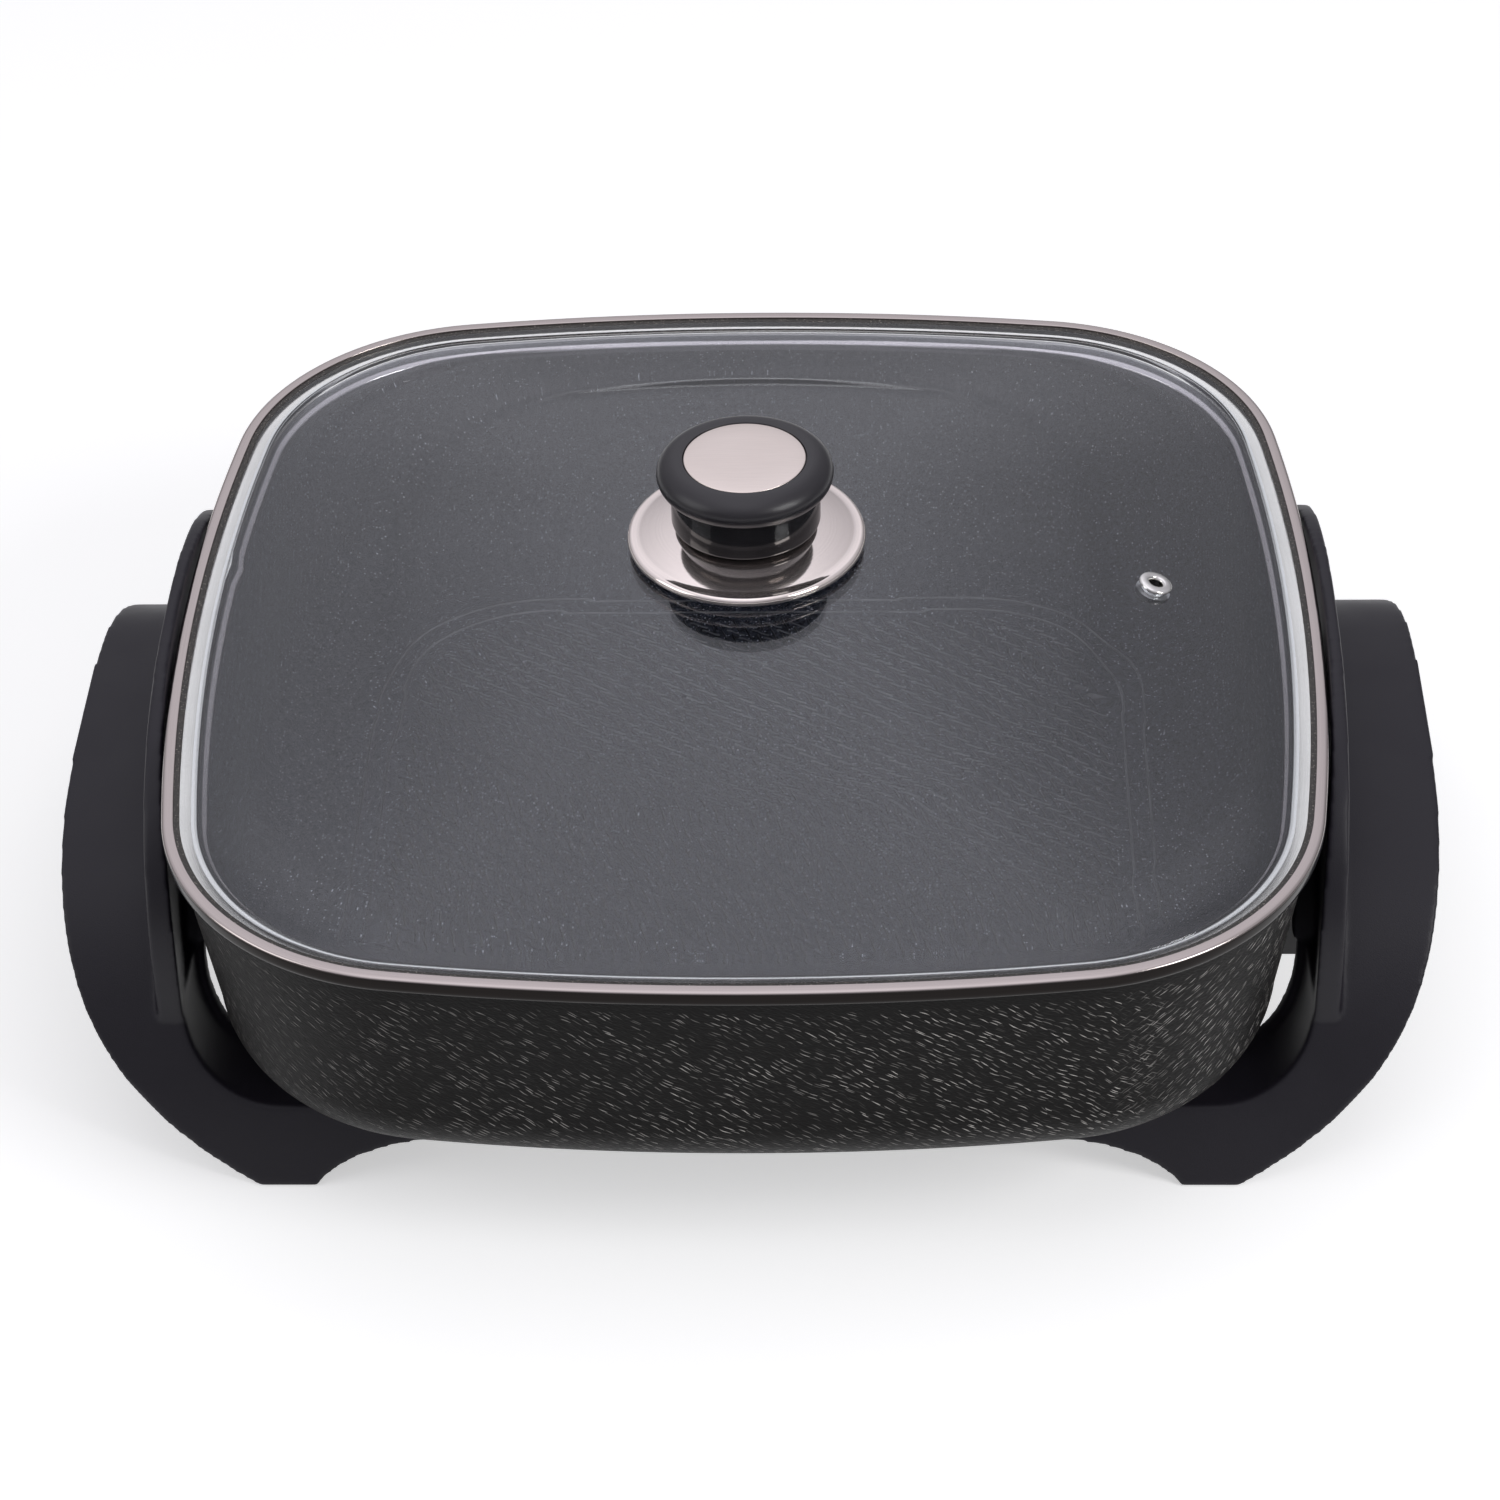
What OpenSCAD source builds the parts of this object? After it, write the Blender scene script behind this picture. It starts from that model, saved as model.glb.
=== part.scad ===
// Electric skillet: a square cast pan on two moulded handles with legs, and a loose glass lid.
// Millimetres, +Z up. The origin is on the table under the middle of the pan, handles along X.

/* [Lid] */
// Width of the lid across two opposite sides
lid_size = 310; // [280:1:330]
// Radius of the slightly bowed sides
side_bow = 680; // [500:10:900]
// Radius of the corners
corner_radius = 72; // [66:1:80]
// Height of the steel rim's top above the table
rim_top = 108; // [104:1:112]
// Height of the rim's outer side
rim_side = 5; // [4.6:0.1:5.4]
// Width of the rim's lip over the glass
rim_lip = 3.4; // [2.5:0.1:4.5]
// Drop of the rim's skirt inside the pan
rim_skirt = 4; // [3.5:0.1:6]
// Sheet thickness of the rim
rim_sheet = 0.7; // [0.5:0.1:0.9]
// Rise of the glass dome above the rim
glass_rise = 26.6; // [24:0.1:26.6]
// Distance of the steam vent from the knob
vent_offset = 110; // [107:0.5:113]
// Diameter of the vent's flange
vent_flange_d = 9.5; // [8.5:0.1:10.5]
// Diameter of the steam hole
vent_hole_d = 3.7; // [2.5:0.1:4.5]

/* [Knob] */
// Height of the knob's top above the rim
knob_height = 52.9; // [51:0.1:58]
// Height of the guard plate's edge above the rim
plate_height = 28.8; // [28.8:0.1:30]
// Rise of the guard plate from its edge to the grip
plate_dome = 3.4; // [2.6:0.1:3.8]
// Diameter of the guard plate
plate_d = 64; // [60:1:66]
// Largest diameter of the grip
grip_d = 47.2; // [44:0.2:50]
// Diameter of the grip's foot on the plate
neck_d = 29; // [26:0.5:31]
// Diameter of the cup under the grip's head
cup_d = 40; // [38.5:0.1:41]
// Diameter of the steel cap
cap_d = 32.6; // [30:0.2:34]

/* [Pan] */
// Height of the pan's underside above the table
pan_base = 31.5; // [31:0.5:33]
// Thickness of the floor
floor_t = 5; // [4.5:0.5:6]
// Thickness of the wall
wall_t = 3.5; // [3:0.1:4]
// Setback of the wall's top from the lid's edge
wall_inset = 3; // [2.5:0.1:3.5]
// Lean of the wall from its top to the bottom rounding
wall_lean = 7; // [5:0.5:8]
// Radius of the bottom rounding, outside
base_round = 24; // [20:1:26]
// Half width of the element's loop
loop_half = 95; // [92:1:98]
// Diameter of the element's sheath
sheath_d = 6.4; // [6:0.1:6.6]

/* [Handles] */
// Height of the grip's top above the table
grip_top = 77; // [72:0.5:80]
// Half the front-to-back spread of the feet
foot_reach = 110.5; // [106:0.5:114]
// Share of the arch's fall that is parabolic
arch_mix = 0.14; // [0.05:0.01:0.3]
// Depth of the handle's arch
arch_depth = 22; // [20:0.5:24]
// Wall thickness of the handles
shell_t = 4; // [3:0.5:5]
// Half width over both grips
grip_out = 186; // [182:1:190]
// Outer edge of the feet from the middle
foot_out = 131; // [128:1:136]
// Inner edge of the feet from the middle
foot_in = 115.5; // [113:0.5:118]
// Gap between handle and lid rim
rim_gap = 0.7; // [0.5:0.1:1.5]
// Outer face of the finger guard from the middle
guard_out = 159.2; // [158:0.2:161]
// Radius of the finger guard's outer face in plan
guard_bow = 1700; // [1200:50:3000]
// Rise of the finger guard above the rim
guard_rise = 3.9; // [2:0.1:6]
// Half length of the finger guard
guard_half = 90; // [86:1:92]
// Squareness of the finger guard's outline
guard_power = 2.7; // [2.2:0.1:3.2]

/* [Inlet] */
// Half width of the inlet guard
inlet_half = 34; // [32:0.5:36]
// Outer end of the inlet guard from the middle
inlet_out = 151; // [148:0.5:152]
// Underside of the inlet guard above the table
inlet_low = 16; // [15:0.5:17]
// Diameter of the contact pins
pin_d = 4.8; // [4:0.1:5]
// Distance between the contact pins
pin_pitch = 34; // [33:0.5:35]
// Bore of the probe tube
probe_bore = 5.2; // [4.8:0.1:5.4]

/* [Hidden] */
$fn = 72;

// Outline of the lid: four bowed sides and four tangent corners
half = lid_size / 2;
bow_shift = side_bow - half;
corner_mid = (sqrt(2 * pow(side_bow - corner_radius, 2) - pow(bow_shift, 2)) - bow_shift) / 2;
side_angle = atan(corner_mid / (bow_shift + corner_mid));
side_steps = 6;
corner_steps = 10;

// Heights and gaps in the lid
slack = 0.3;
fit_gap = 0.1;
glass_seat = rim_top - rim_side + rim_sheet;
glass_t = rim_side - 2 * rim_sheet;
crown = rim_top + glass_rise;
crown_under = crown - glass_t;
crown_r = 14;
under_shift = glass_t / 4;
// Shares of the dome's rise at insets from the edge, straight around the vent
dome_edge = [[9, 0], [14, 0.045], [22, 0.13], [36, 0.285], [54, 0.49]];
dome_end = dome_edge[4];
vent_run = (dome_end[1] - dome_edge[3][1]) / (dome_end[0] - dome_edge[3][0]) * glass_rise;
vent_z = rim_top + dome_end[1] * glass_rise - (vent_offset - half + dome_end[0]) * vent_run;
vent_tilt = atan(vent_run);
vent_under = -(glass_t + under_shift * vent_run) * cos(vent_tilt) - fit_gap;
gasket_r = 13.5;
washer_t = 1.2;
screw_r = 2.5;
screw_way_r = screw_r + slack;
knob_hole_r = 4.2;
vent_barrel_r = 3.2;

// Knob stack
plate_top = rim_top + plate_height;
plate_sheet = 1.2;
grip_base = plate_top + plate_dome;
knob_top = rim_top + knob_height;
cap_t = 1.2;
cap_seat = knob_top - cap_t;
insert_r = 4.5;
insert_low = grip_base + 1;
insert_high = insert_low + 14;
gasket_low = crown_under - washer_t;

// Pan
rim_seat = rim_top - rim_side - slack;
floor_top = pan_base + floor_t;
flat_edge = wall_inset + wall_lean + base_round;
inner_round = base_round - wall_t;
groove_w = sheath_d + 0.8;
rib_w = 16;
rib_low = pan_base - 7;
web_t = 0.8;
loop_round = 30;
loop_mid = loop_half - loop_round;
element_z = pan_base - web_t - fit_gap - sheath_d / 2;
boss = [78, 58];
boss_low = 23;
boss_r = 6;
arm_w = 10;
tap_r = 1.85;
tap_end = pan_base - 1.5;

// Inlet
terminal_z = 25.5;
inlet_in = 111;
inlet_sheet = 1.5;
inlet_screw = [105.5, 29];
inlet_boss_r = 5;
inlet_bite = 8;
tongue_in = 100;
elbow_r = 12;
sheath_end = 120;
bush_end = 123;
pin_end = 143;
pin_shank_r = pin_d / 2 - 0.3;
board_x = 126;
board_t = 3;
probe_r = probe_bore / 2 + 1;
probe_in = 93;
probe_out = 142;
lug_len = 15;
lug_w = 14;
lug_low = terminal_z - probe_r - 3.5;

// Handles
bar_in = 64;
bar_bend = 82.5;
bar_low = 12;
bar_top = 21;
open_in = half - 5.1;
open_rx = 26;
open_rz = 24.5;
open_top = bar_top + open_rz;
flange_w = 3;
flange_depth = 4;
strap_t = boss_low - bar_top;
strap_w = 24;
strap_end = 97;
bar_screw = [boss[0], 92];
bar_head = 3;
bar_head_r = 4;
bar_head_h = 2.6;
bar_hole_r = 2.2;
screw_proud = 0.8;

// Turns a flat point about the origin
function turn(p, angle) = [p[0] * cos(angle) - p[1] * sin(angle), p[0] * sin(angle) + p[1] * cos(angle)];

// A quarter of the lid's outline, moved inwards by inset
function quarter(inset) = concat(
    [for (i = [0:side_steps - 1])
        let (angle = side_angle * (2 * i / side_steps - 1))
        [(side_bow - inset) * cos(angle) - bow_shift, (side_bow - inset) * sin(angle)]],
    [for (i = [0:corner_steps - 1])
        let (angle = side_angle + (90 - 2 * side_angle) * i / corner_steps, r = corner_radius - inset)
        [corner_mid + r * cos(angle), corner_mid + r * sin(angle)]]);

// The whole outline at a height, as a ring of points
function ring(inset, z) = [for (k = [0:3]) each [for (p = quarter(inset)) concat(turn(p, 90 * k), z)]];

// Points of an arc from one angle to another, stretched by rx and ry
function arc(mid, rx, ry, from, to, steps) =
    [for (i = [0:steps])
        let (angle = from + (to - from) * i / steps)
        [mid[0] + rx * cos(angle), mid[1] + ry * sin(angle)]];

// A skin over rings of equal length; it closes on itself, or has flat ends
module skin(rings, closed) {
    count = len(rings);
    size = len(rings[0]);
    last = closed ? count - 1 : count - 2;
    walls = [for (i = [0:last], j = [0:size - 1])
        let (a = i * size, b = (i + 1) % count * size, k = (j + 1) % size)
        each [[a + j, b + j, b + k], [a + j, b + k, a + k]]];
    ends = closed ? [] : [
        [for (j = [0:size - 1]) j],
        [for (j = [size - 1:-1:0]) (count - 1) * size + j]];
    polyhedron([for (r = rings) each r], concat(walls, ends), convexity = 6);
}

// A profile of [inset, height] points carried round the lid's outline
module around(profile, closed = false) {
    skin([for (p = profile) ring(p[0], p[1])], closed);
}

// A flat outline given in Y and Z, carried along X
module along_x(from, to) {
    translate([from, 0, 0])
        rotate([90, 0, 90])
            linear_extrude(to - from)
                children();
}

// A flat outline given in X and Z, carried along Y
module along_y(length) {
    rotate([90, 0, 0])
        linear_extrude(length, center = true)
            children();
}

// A screw at the origin: head below, shank upwards, with a cross recess
module screw(r, head_r, head_h, length) {
    difference() {
        union() {
            cylinder(h = length, r = r);
            translate([0, 0, -head_h])
                cylinder(h = head_h, r1 = head_r * 0.8, r2 = head_r);
        }
        for (angle = [0, 90])
            rotate(angle)
                translate([-head_r * 0.5, -0.5, -head_h - 1])
                    cube([head_r, 1, head_h * 0.5 + 1]);
    }
}

// A washer or bush standing on a height
module flat_ring(low, thick, inner, outer) {
    translate([0, 0, low])
        difference() {
            cylinder(h = thick, r = outer);
            translate([0, 0, -1])
                cylinder(h = thick + 2, r = inner);
        }
}

// Copies at the four mirrored places of a point
module four(place) {
    for (x = [-1, 1], y = [-1, 1])
        translate([x * place[0], y * place[1], 0])
            children();
}

// Lid

// Rings of the dome's upper side, or of its underside moved in and down: offset near the edge, scaled within
function dome_rings(shift, drop) = concat(
    [for (p = dome_edge) ring(p[0] + shift, rim_top + p[1] * glass_rise - drop)],
    [for (i = [4:-1:0])
        let (end_r = half - dome_end[0], r = crown_r + (end_r - crown_r) * i / 5)
        let (share = (pow(r, 2) - pow(crown_r, 2)) / (pow(end_r, 2) - pow(crown_r, 2)))
        [for (p = ring(dome_end[0], 0))
            [p[0] * r / end_r, p[1] * r / end_r, crown - drop - share * (1 - dome_end[1]) * glass_rise]]]);

// Puts things on the glass at the vent, square to the dome
module at_vent() {
    translate([vent_offset, 0, vent_z])
        rotate([0, vent_tilt, 0])
            children();
}

module lid_glass() {
    upper = dome_rings(0, 0);
    under = dome_rings(under_shift, glass_t);
    color([0.55, 0.6, 0.65, 0.5])
        difference() {
            skin(concat(
                [for (i = [len(under) - 1:-1:0]) under[i]],
                [ring(8, glass_seat), ring(1, glass_seat)],
                [ring(1, glass_seat + glass_t), ring(5, glass_seat + glass_t)],
                upper), closed = false);
            cylinder(h = 2 * rim_top, r = knob_hole_r);
            at_vent()
                translate([0, 0, -2 * glass_t])
                    cylinder(h = 4 * glass_t, r = vent_barrel_r + 2 * fit_gap);
        }
}

module lid_rim() {
    low = rim_top - rim_side;
    bend = 9.4;
    hem = 12.4;
    hem_z = glass_seat - 2.4;
    color("silver")
        around([[0, low], [0, rim_top - 0.8], [0.8, rim_top], [rim_lip, rim_top],
            [rim_lip, rim_top - rim_sheet], [rim_sheet, rim_top - rim_sheet], [rim_sheet, glass_seat],
            [bend, glass_seat], [hem, hem_z], [hem, low - rim_skirt], [hem - rim_sheet, low - rim_skirt],
            [hem - rim_sheet, hem_z - 0.4], [bend - 0.3, low]], closed = true);
}

module steam_vent() {
    clinch_r = 4;
    clinch_top = vent_under - washer_t;
    clinch_low = clinch_top - 0.6;
    hole_r = vent_hole_d / 2;
    flange_r = vent_flange_d / 2;
    flange_low = fit_gap;
    flange_t = 1.2;
    color("silver")
        at_vent()
            rotate_extrude()
                polygon([[hole_r, clinch_low], [clinch_r, clinch_low], [clinch_r, clinch_top],
                    [vent_barrel_r, clinch_top], [vent_barrel_r, flange_low], [flange_r, flange_low],
                    [flange_r - 0.3, flange_t - 0.4], [flange_r - 1.2, flange_t],
                    [hole_r + 0.5, flange_t], [hole_r, flange_t - 0.5]]);
}

module vent_washer() {
    color("gainsboro")
        at_vent()
            flat_ring(vent_under - washer_t, washer_t, vent_barrel_r + fit_gap, vent_flange_d / 2);
}

module knob_grip() {
    head_low = knob_top - 8.4;
    groove_r = cup_d / 2 - 1;
    foot_r = neck_d / 2;
    edge_r = 6;
    cup_round = 1.2;
    cup_mid = [cup_d / 2 - cup_round, grip_base + 0.6 + cup_round];
    color("#141416")
        difference() {
            rotate_extrude()
                polygon(concat(
                    [[0, grip_base], [foot_r, grip_base], [foot_r + 1.8, grip_base + 0.3]],
                    arc(cup_mid, cup_round, cup_round, -90, 0, 6),
                    [[cup_d / 2, head_low - 0.8], [groove_r, head_low - 0.8], [groove_r, head_low],
                        [cup_d / 2, head_low]],
                    arc([grip_d / 2 - edge_r, knob_top - 4.8], edge_r, 4.6, -50, 85, 12),
                    [[cap_d / 2 + 0.2, knob_top - 0.3], [cap_d / 2 + 0.2, cap_seat], [0, cap_seat]]));
            translate([0, 0, grip_base - 1])
                cylinder(h = insert_high - grip_base + 1.5, r = insert_r + fit_gap);
        }
}

module knob_cap() {
    color("silver")
        translate([0, 0, cap_seat])
            rotate_extrude()
                polygon([[0, 0], [cap_d / 2, 0], [cap_d / 2, cap_t - 0.5], [cap_d / 2 - 0.5, cap_t - 0.2],
                    [cap_d / 4, cap_t], [0, cap_t]]);
}

module knob_plate() {
    roll_r = 1.3;
    bend_r = plate_d / 2 - 2 * roll_r;
    seat_r = 16;
    // Upper side from the grip's seat to the rolled edge
    slope = [for (i = [0:5])
        let (r = seat_r + (bend_r - seat_r) * i / 5)
        [r, grip_base - plate_dome * (pow(r, 2) - pow(seat_r, 2)) / (pow(bend_r, 2) - pow(seat_r, 2))]];
    color("silver")
        rotate_extrude()
            polygon(concat(
                [[screw_way_r, grip_base - plate_sheet]],
                [for (p = slope) [p[0], p[1] - plate_sheet]],
                arc([plate_d / 2 - roll_r, plate_top - roll_r], roll_r, roll_r, -170, 90, 12),
                [for (i = [5:-1:0]) slope[i]],
                [[screw_way_r, grip_base]]));
}

module upper_gasket() {
    color("#202022")
        flat_ring(crown, grip_base - plate_sheet - crown, knob_hole_r, gasket_r);
}

module lower_gasket() {
    color("#202022")
        flat_ring(gasket_low, washer_t, screw_way_r, gasket_r);
}

module knob_washer() {
    color("gainsboro")
        flat_ring(gasket_low - washer_t, washer_t, screw_way_r, 2 * insert_r);
}

module knob_screw() {
    start = gasket_low - washer_t;
    end_gap = 2;
    color("gainsboro")
        translate([0, 0, start])
            screw(screw_r, 4.8, 3, insert_high - end_gap - start);
}

module knob_insert() {
    color("goldenrod")
        flat_ring(insert_low, insert_high - insert_low, screw_r + fit_gap, insert_r);
}

// Base

// Rounded square round the element's loop
function loop_outline(reach) = [for (k = [0:3]) each
    [for (p = arc([loop_mid, loop_mid], reach - loop_mid, reach - loop_mid, 0, 90, 8)) turn(p, 90 * k)]];

module loop_prism(outer, inner, low, high) {
    translate([0, 0, low])
        linear_extrude(high - low)
            difference() {
                polygon(loop_outline(outer));
                polygon(loop_outline(inner));
            }
}

module pan() {
    outer_mid = [flat_edge, pan_base + base_round];
    inner_mid = [flat_edge, floor_top + inner_round];
    color("#3a3c41")
        around(concat(
            arc(outer_mid, -base_round, base_round, -90, 0, 6),
            [[wall_inset, rim_seat], [wall_inset + wall_t, rim_seat]],
            arc(inner_mid, -inner_round, inner_round, 0, -90, 6)));
}

// Copies at the two screws of the inlet guard
module two() {
    for (y = [-1, 1])
        translate([inlet_screw[0], y * inlet_screw[1], 0])
            children();
}

module heater_casting() {
    gate = 32;
    groove_top = pan_base - web_t;
    arm_len = loop_half - groove_w / 2 - 1 - boss[0];
    color("gray")
        difference() {
            union() {
                difference() {
                    loop_prism(loop_half + rib_w / 2, loop_half - rib_w / 2, rib_low, pan_base);
                    loop_prism(loop_half + groove_w / 2, loop_half - groove_w / 2, 0, groove_top);
                    translate([loop_half - rib_w, -gate, 0])
                        cube([2 * rib_w, 2 * gate, groove_top]);
                }
                four(boss)
                    translate([0, 0, boss_low])
                        cylinder(h = pan_base - boss_low, r = boss_r);
                for (x = [0, 1], y = [-1, 1])
                    mirror([x, 0, 0])
                        translate([boss[0], y * boss[1] - arm_w / 2, rib_low])
                            cube([arm_len, arm_w, pan_base - rib_low]);
                two()
                    translate([0, 0, inlet_low + inlet_sheet])
                        cylinder(h = pan_base - inlet_low - inlet_sheet, r = inlet_boss_r);
                translate([probe_in - 1, -lug_w / 2, lug_low])
                    cube([lug_len, lug_w, pan_base - lug_low]);
            }
            four(boss)
                cylinder(h = tap_end, r = tap_r);
            two()
                cylinder(h = inlet_low + inlet_bite + 1, r = tap_r);
            translate([probe_in, 0, terminal_z])
                rotate([0, 90, 0])
                    cylinder(h = lug_len, r = probe_r + fit_gap);
        }
}

// Half of the element's route, from the terminal to the far side of the loop
elbow_x = loop_half + elbow_r;
elbow_y = pin_pitch / 2 + elbow_r;
half_route = concat(
    [[sheath_end, -pin_pitch / 2, terminal_z]],
    [for (i = [0:3])
        let (rise = i / 3)
        [sheath_end - 1 - 3 * i, -pin_pitch / 2,
            terminal_z + (element_z - terminal_z) * rise * rise * (3 - 2 * rise)]],
    [for (p = concat(
        arc([elbow_x, -elbow_y], elbow_r, elbow_r, 90, 180, 5),
        arc([loop_mid, -loop_mid], loop_round, loop_round, 0, -90, 8),
        arc([-loop_mid, -loop_mid], loop_round, loop_round, -90, -180, 8)))
        [p[0], p[1], element_z]]);
route = concat(half_route,
    [for (i = [len(half_route) - 1:-1:0]) [half_route[i][0], -half_route[i][1], half_route[i][2]]]);
tube_sides = 10;

// A round of the sheath, square to the route at a point
function sheath_ring(i) =
    let (ahead = route[min(i + 1, len(route) - 1)] - route[max(i - 1, 0)],
        side = cross(ahead, [0, 0, 1]) / norm(cross(ahead, [0, 0, 1])),
        up = cross(side, ahead) / norm(ahead))
    [for (j = [0:tube_sides - 1])
        let (angle = 360 * j / tube_sides)
        route[i] + sheath_d / 2 * (cos(angle) * side + sin(angle) * up)];

module heating_element() {
    color("#5a5a5c")
        skin([for (i = [len(route) - 1:-1:0]) sheath_ring(i)], closed = false);
}

// Places one thing on each contact pin's axis, along X
module on_pins(from) {
    for (y = [-1, 1])
        translate([from, y * pin_pitch / 2, terminal_z])
            rotate([0, 90, 0])
                children();
}

module element_bushes() {
    color("ivory")
        on_pins(sheath_end)
            flat_ring(0, bush_end - sheath_end, pin_shank_r + fit_gap, sheath_d / 2);
}

module terminal_pins() {
    tip = 1.2;
    contact = pin_end - board_x - board_t;
    color("gainsboro") {
        on_pins(sheath_end)
            cylinder(h = pin_end - contact - sheath_end, r = pin_shank_r);
        on_pins(pin_end - contact)
            rotate_extrude()
                polygon([[0, 0], [pin_d / 2, 0], [pin_d / 2, contact - tip], [pin_d / 2 - tip / 2, contact],
                    [0, contact]]);
    }
}

module terminal_plate() {
    margin = inlet_sheet + 0.2;
    color("#4a3020")
        difference() {
            translate([board_x, margin - inlet_half, inlet_low + margin])
                cube([board_t, 2 * (inlet_half - margin), pan_base - inlet_low - 2 * margin]);
            on_pins(board_x - 1)
                cylinder(h = board_t + 2, r = pin_shank_r + fit_gap);
            translate([board_x - 1, 0, terminal_z])
                rotate([0, 90, 0])
                    cylinder(h = board_t + 2, r = probe_r + fit_gap);
        }
}

module probe_tube() {
    closed_end = 2;
    color("silver")
        translate([probe_in, 0, terminal_z])
            rotate([0, 90, 0])
                difference() {
                    cylinder(h = probe_out - probe_in, r = probe_r);
                    translate([0, 0, closed_end])
                        cylinder(h = probe_out - probe_in, r = probe_bore / 2);
                }
}

module inlet_guard() {
    inside = inlet_half - inlet_sheet;
    notch_w = sheath_d + 1.6;
    notch_end = 118;
    color("#55575b")
        difference() {
            union() {
                translate([inlet_in, -inlet_half, inlet_low])
                    cube([inlet_out - inlet_in, 2 * inlet_half, pan_base - inlet_low]);
                translate([tongue_in, -inlet_half, inlet_low])
                    cube([inlet_in - tongue_in + 1, 2 * inlet_half, inlet_sheet]);
            }
            translate([inlet_in - 1, -inside, inlet_low + inlet_sheet])
                cube([inlet_out - inlet_in + 2, 2 * inside, pan_base - inlet_low - 2 * inlet_sheet]);
            two()
                cylinder(h = pan_base, r = tap_r + slack);
            for (y = [-1, 1])
                translate([inlet_in - 1, y * pin_pitch / 2 - notch_w / 2, terminal_z])
                    cube([notch_end - inlet_in + 1, notch_w, pan_base - terminal_z + 1]);
        }
}

module inlet_screws() {
    color("gainsboro")
        two()
            translate([0, 0, inlet_low])
                screw(tap_r - fit_gap, 3.4, 2.2, inlet_bite);
}

// Handles

// Height of the arch over a distance from the middle, and its slope there
function arch_z(y) =
    let (u = y / foot_reach)
    grip_top * (1 - arch_mix * pow(u, 2) - (1 - arch_mix) * pow(u, 4));
function arch_slope(y) =
    let (u = y / foot_reach)
    -grip_top / foot_reach * (2 * arch_mix * u + 4 * (1 - arch_mix) * pow(u, 3));

// A point at a depth under the arch's surface
function arch_point(y, depth) =
    let (slope = arch_slope(y), size = sqrt(1 + slope * slope))
    [y + depth * slope / size, arch_z(y) - depth / size];

// Stations along the arch, closer together towards the feet
arch_steps = 20;
stations = [for (i = [-arch_steps:arch_steps])
    let (u = abs(i) / arch_steps)
    sign(i) * foot_reach * (1 - pow(1 - u, 1.4))];

// Outer edge of the handle in the front view, at a share of the way down
function edge_x(t) = foot_out + (grip_out - foot_out) * (1 - 0.25 * t - 0.75 * pow(t, 3));
edge_steps = 20;
outer_edge = [for (i = [edge_steps:-1:0]) [edge_x(i / edge_steps), grip_top * (1 - i / edge_steps)]];

module arch_band(from, to) {
    along_x(0, grip_out + 1)
        polygon(concat(
            [for (y = stations) arch_point(y, from)],
            [for (i = [len(stations) - 1:-1:0]) arch_point(stations[i], to)]));
}

// Wide round tower whose side passes through a place on the X axis
module tower(reach, r, low) {
    translate([reach - r, 0, low])
        cylinder(h = 2 * rim_top, r = r, $fn = 720);
}

// Tower that follows the lid's bowed side
module bow(gap, low) {
    tower(half + gap, side_bow + gap, low);
}

module handle_outline() {
    open_mid = [open_in - open_rx, open_top];
    sweep = foot_in - bar_bend;
    polygon(concat(
        [[bar_in, bar_low]],
        [for (i = [0:8]) [bar_bend + sweep * i / 8, bar_low * pow(1 - pow(i / 8, 2), 0.75)]],
        [[foot_out, 0]],
        outer_edge,
        [[grip_out, grip_top + 1], [open_in - 10, grip_top + 1], [open_in - 10, open_top]],
        arc(open_mid, open_rx, open_rz, 0, -90, 8),
        [[bar_in, bar_top]]));
}

module hollow_outline() {
    open_mid = [open_in - open_rx, open_top];
    sole = 6;
    side = shell_t * 1.2;
    polygon(concat(
        [[foot_in + shell_t + 1, sole]],
        [for (p = outer_edge) if (p[1] > sole) [p[0] - side, p[1]]],
        [[grip_out - side, grip_top + 1], [guard_out + 1, grip_top + 1], [guard_out + 1, open_top + shell_t]],
        arc(open_mid, open_rx + shell_t, open_rz + shell_t, 0, -90, 8)));
}

module flange_outline() {
    open_mid = [open_in - open_rx, open_top];
    polygon(concat(
        [[open_in + 3, open_top], [open_in + 3, grip_top]],
        [[open_in - 10, grip_top], [open_in - 10, open_top]],
        arc(open_mid, open_rx - flange_w, open_rz, 0, -90, 8),
        arc(open_mid, open_rx + 1, open_rz + 1, -90, 0, 8)));
}

// Upright guard between the fingers and the hot rim
module finger_guard() {
    base = arch_z(guard_half);
    rise = rim_top + guard_rise - base;
    steps = 24;
    overlap = 3;
    along_x(open_in - 2, guard_out)
        polygon(concat(
            [for (i = [0:steps])
                let (angle = 180 * i / steps, c = cos(angle))
                [guard_half * sign(c) * pow(abs(c), 2 / guard_power),
                    base + rise * pow(sin(angle), 2 / guard_power)]],
            [for (i = [-8:8]) arch_point(guard_half * i / 8, overlap)]));
}

module handle() {
    head_way_r = bar_head_r + 0.4;
    color("#1b1b1e")
        difference() {
            union() {
                difference() {
                    intersection() {
                        arch_band(0, arch_depth);
                        along_y(3 * foot_reach)
                            handle_outline();
                    }
                    intersection() {
                        arch_band(shell_t, arch_depth + 1);
                        along_y(3 * foot_reach)
                            hollow_outline();
                    }
                    bow(rim_gap, open_top);
                }
                difference() {
                    intersection() {
                        finger_guard();
                        tower(guard_out, guard_bow, 0);
                    }
                    bow(rim_gap, 0);
                }
                difference() {
                    intersection() {
                        arch_band(arch_depth - flange_depth, arch_depth);
                        along_y(3 * foot_reach)
                            flange_outline();
                    }
                    bow(rim_gap - flange_w, open_top);
                }
            }
            for (y = [-1, 1])
                translate([bar_screw[0], y * bar_screw[1], 0]) {
                    cylinder(h = bar_top + 1, r = bar_hole_r);
                    cylinder(h = bar_low + bar_head, r = head_way_r);
                }
        }
}

module right_handle() {
    handle();
}

module left_handle() {
    mirror([1, 0, 0])
        handle();
}

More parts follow.
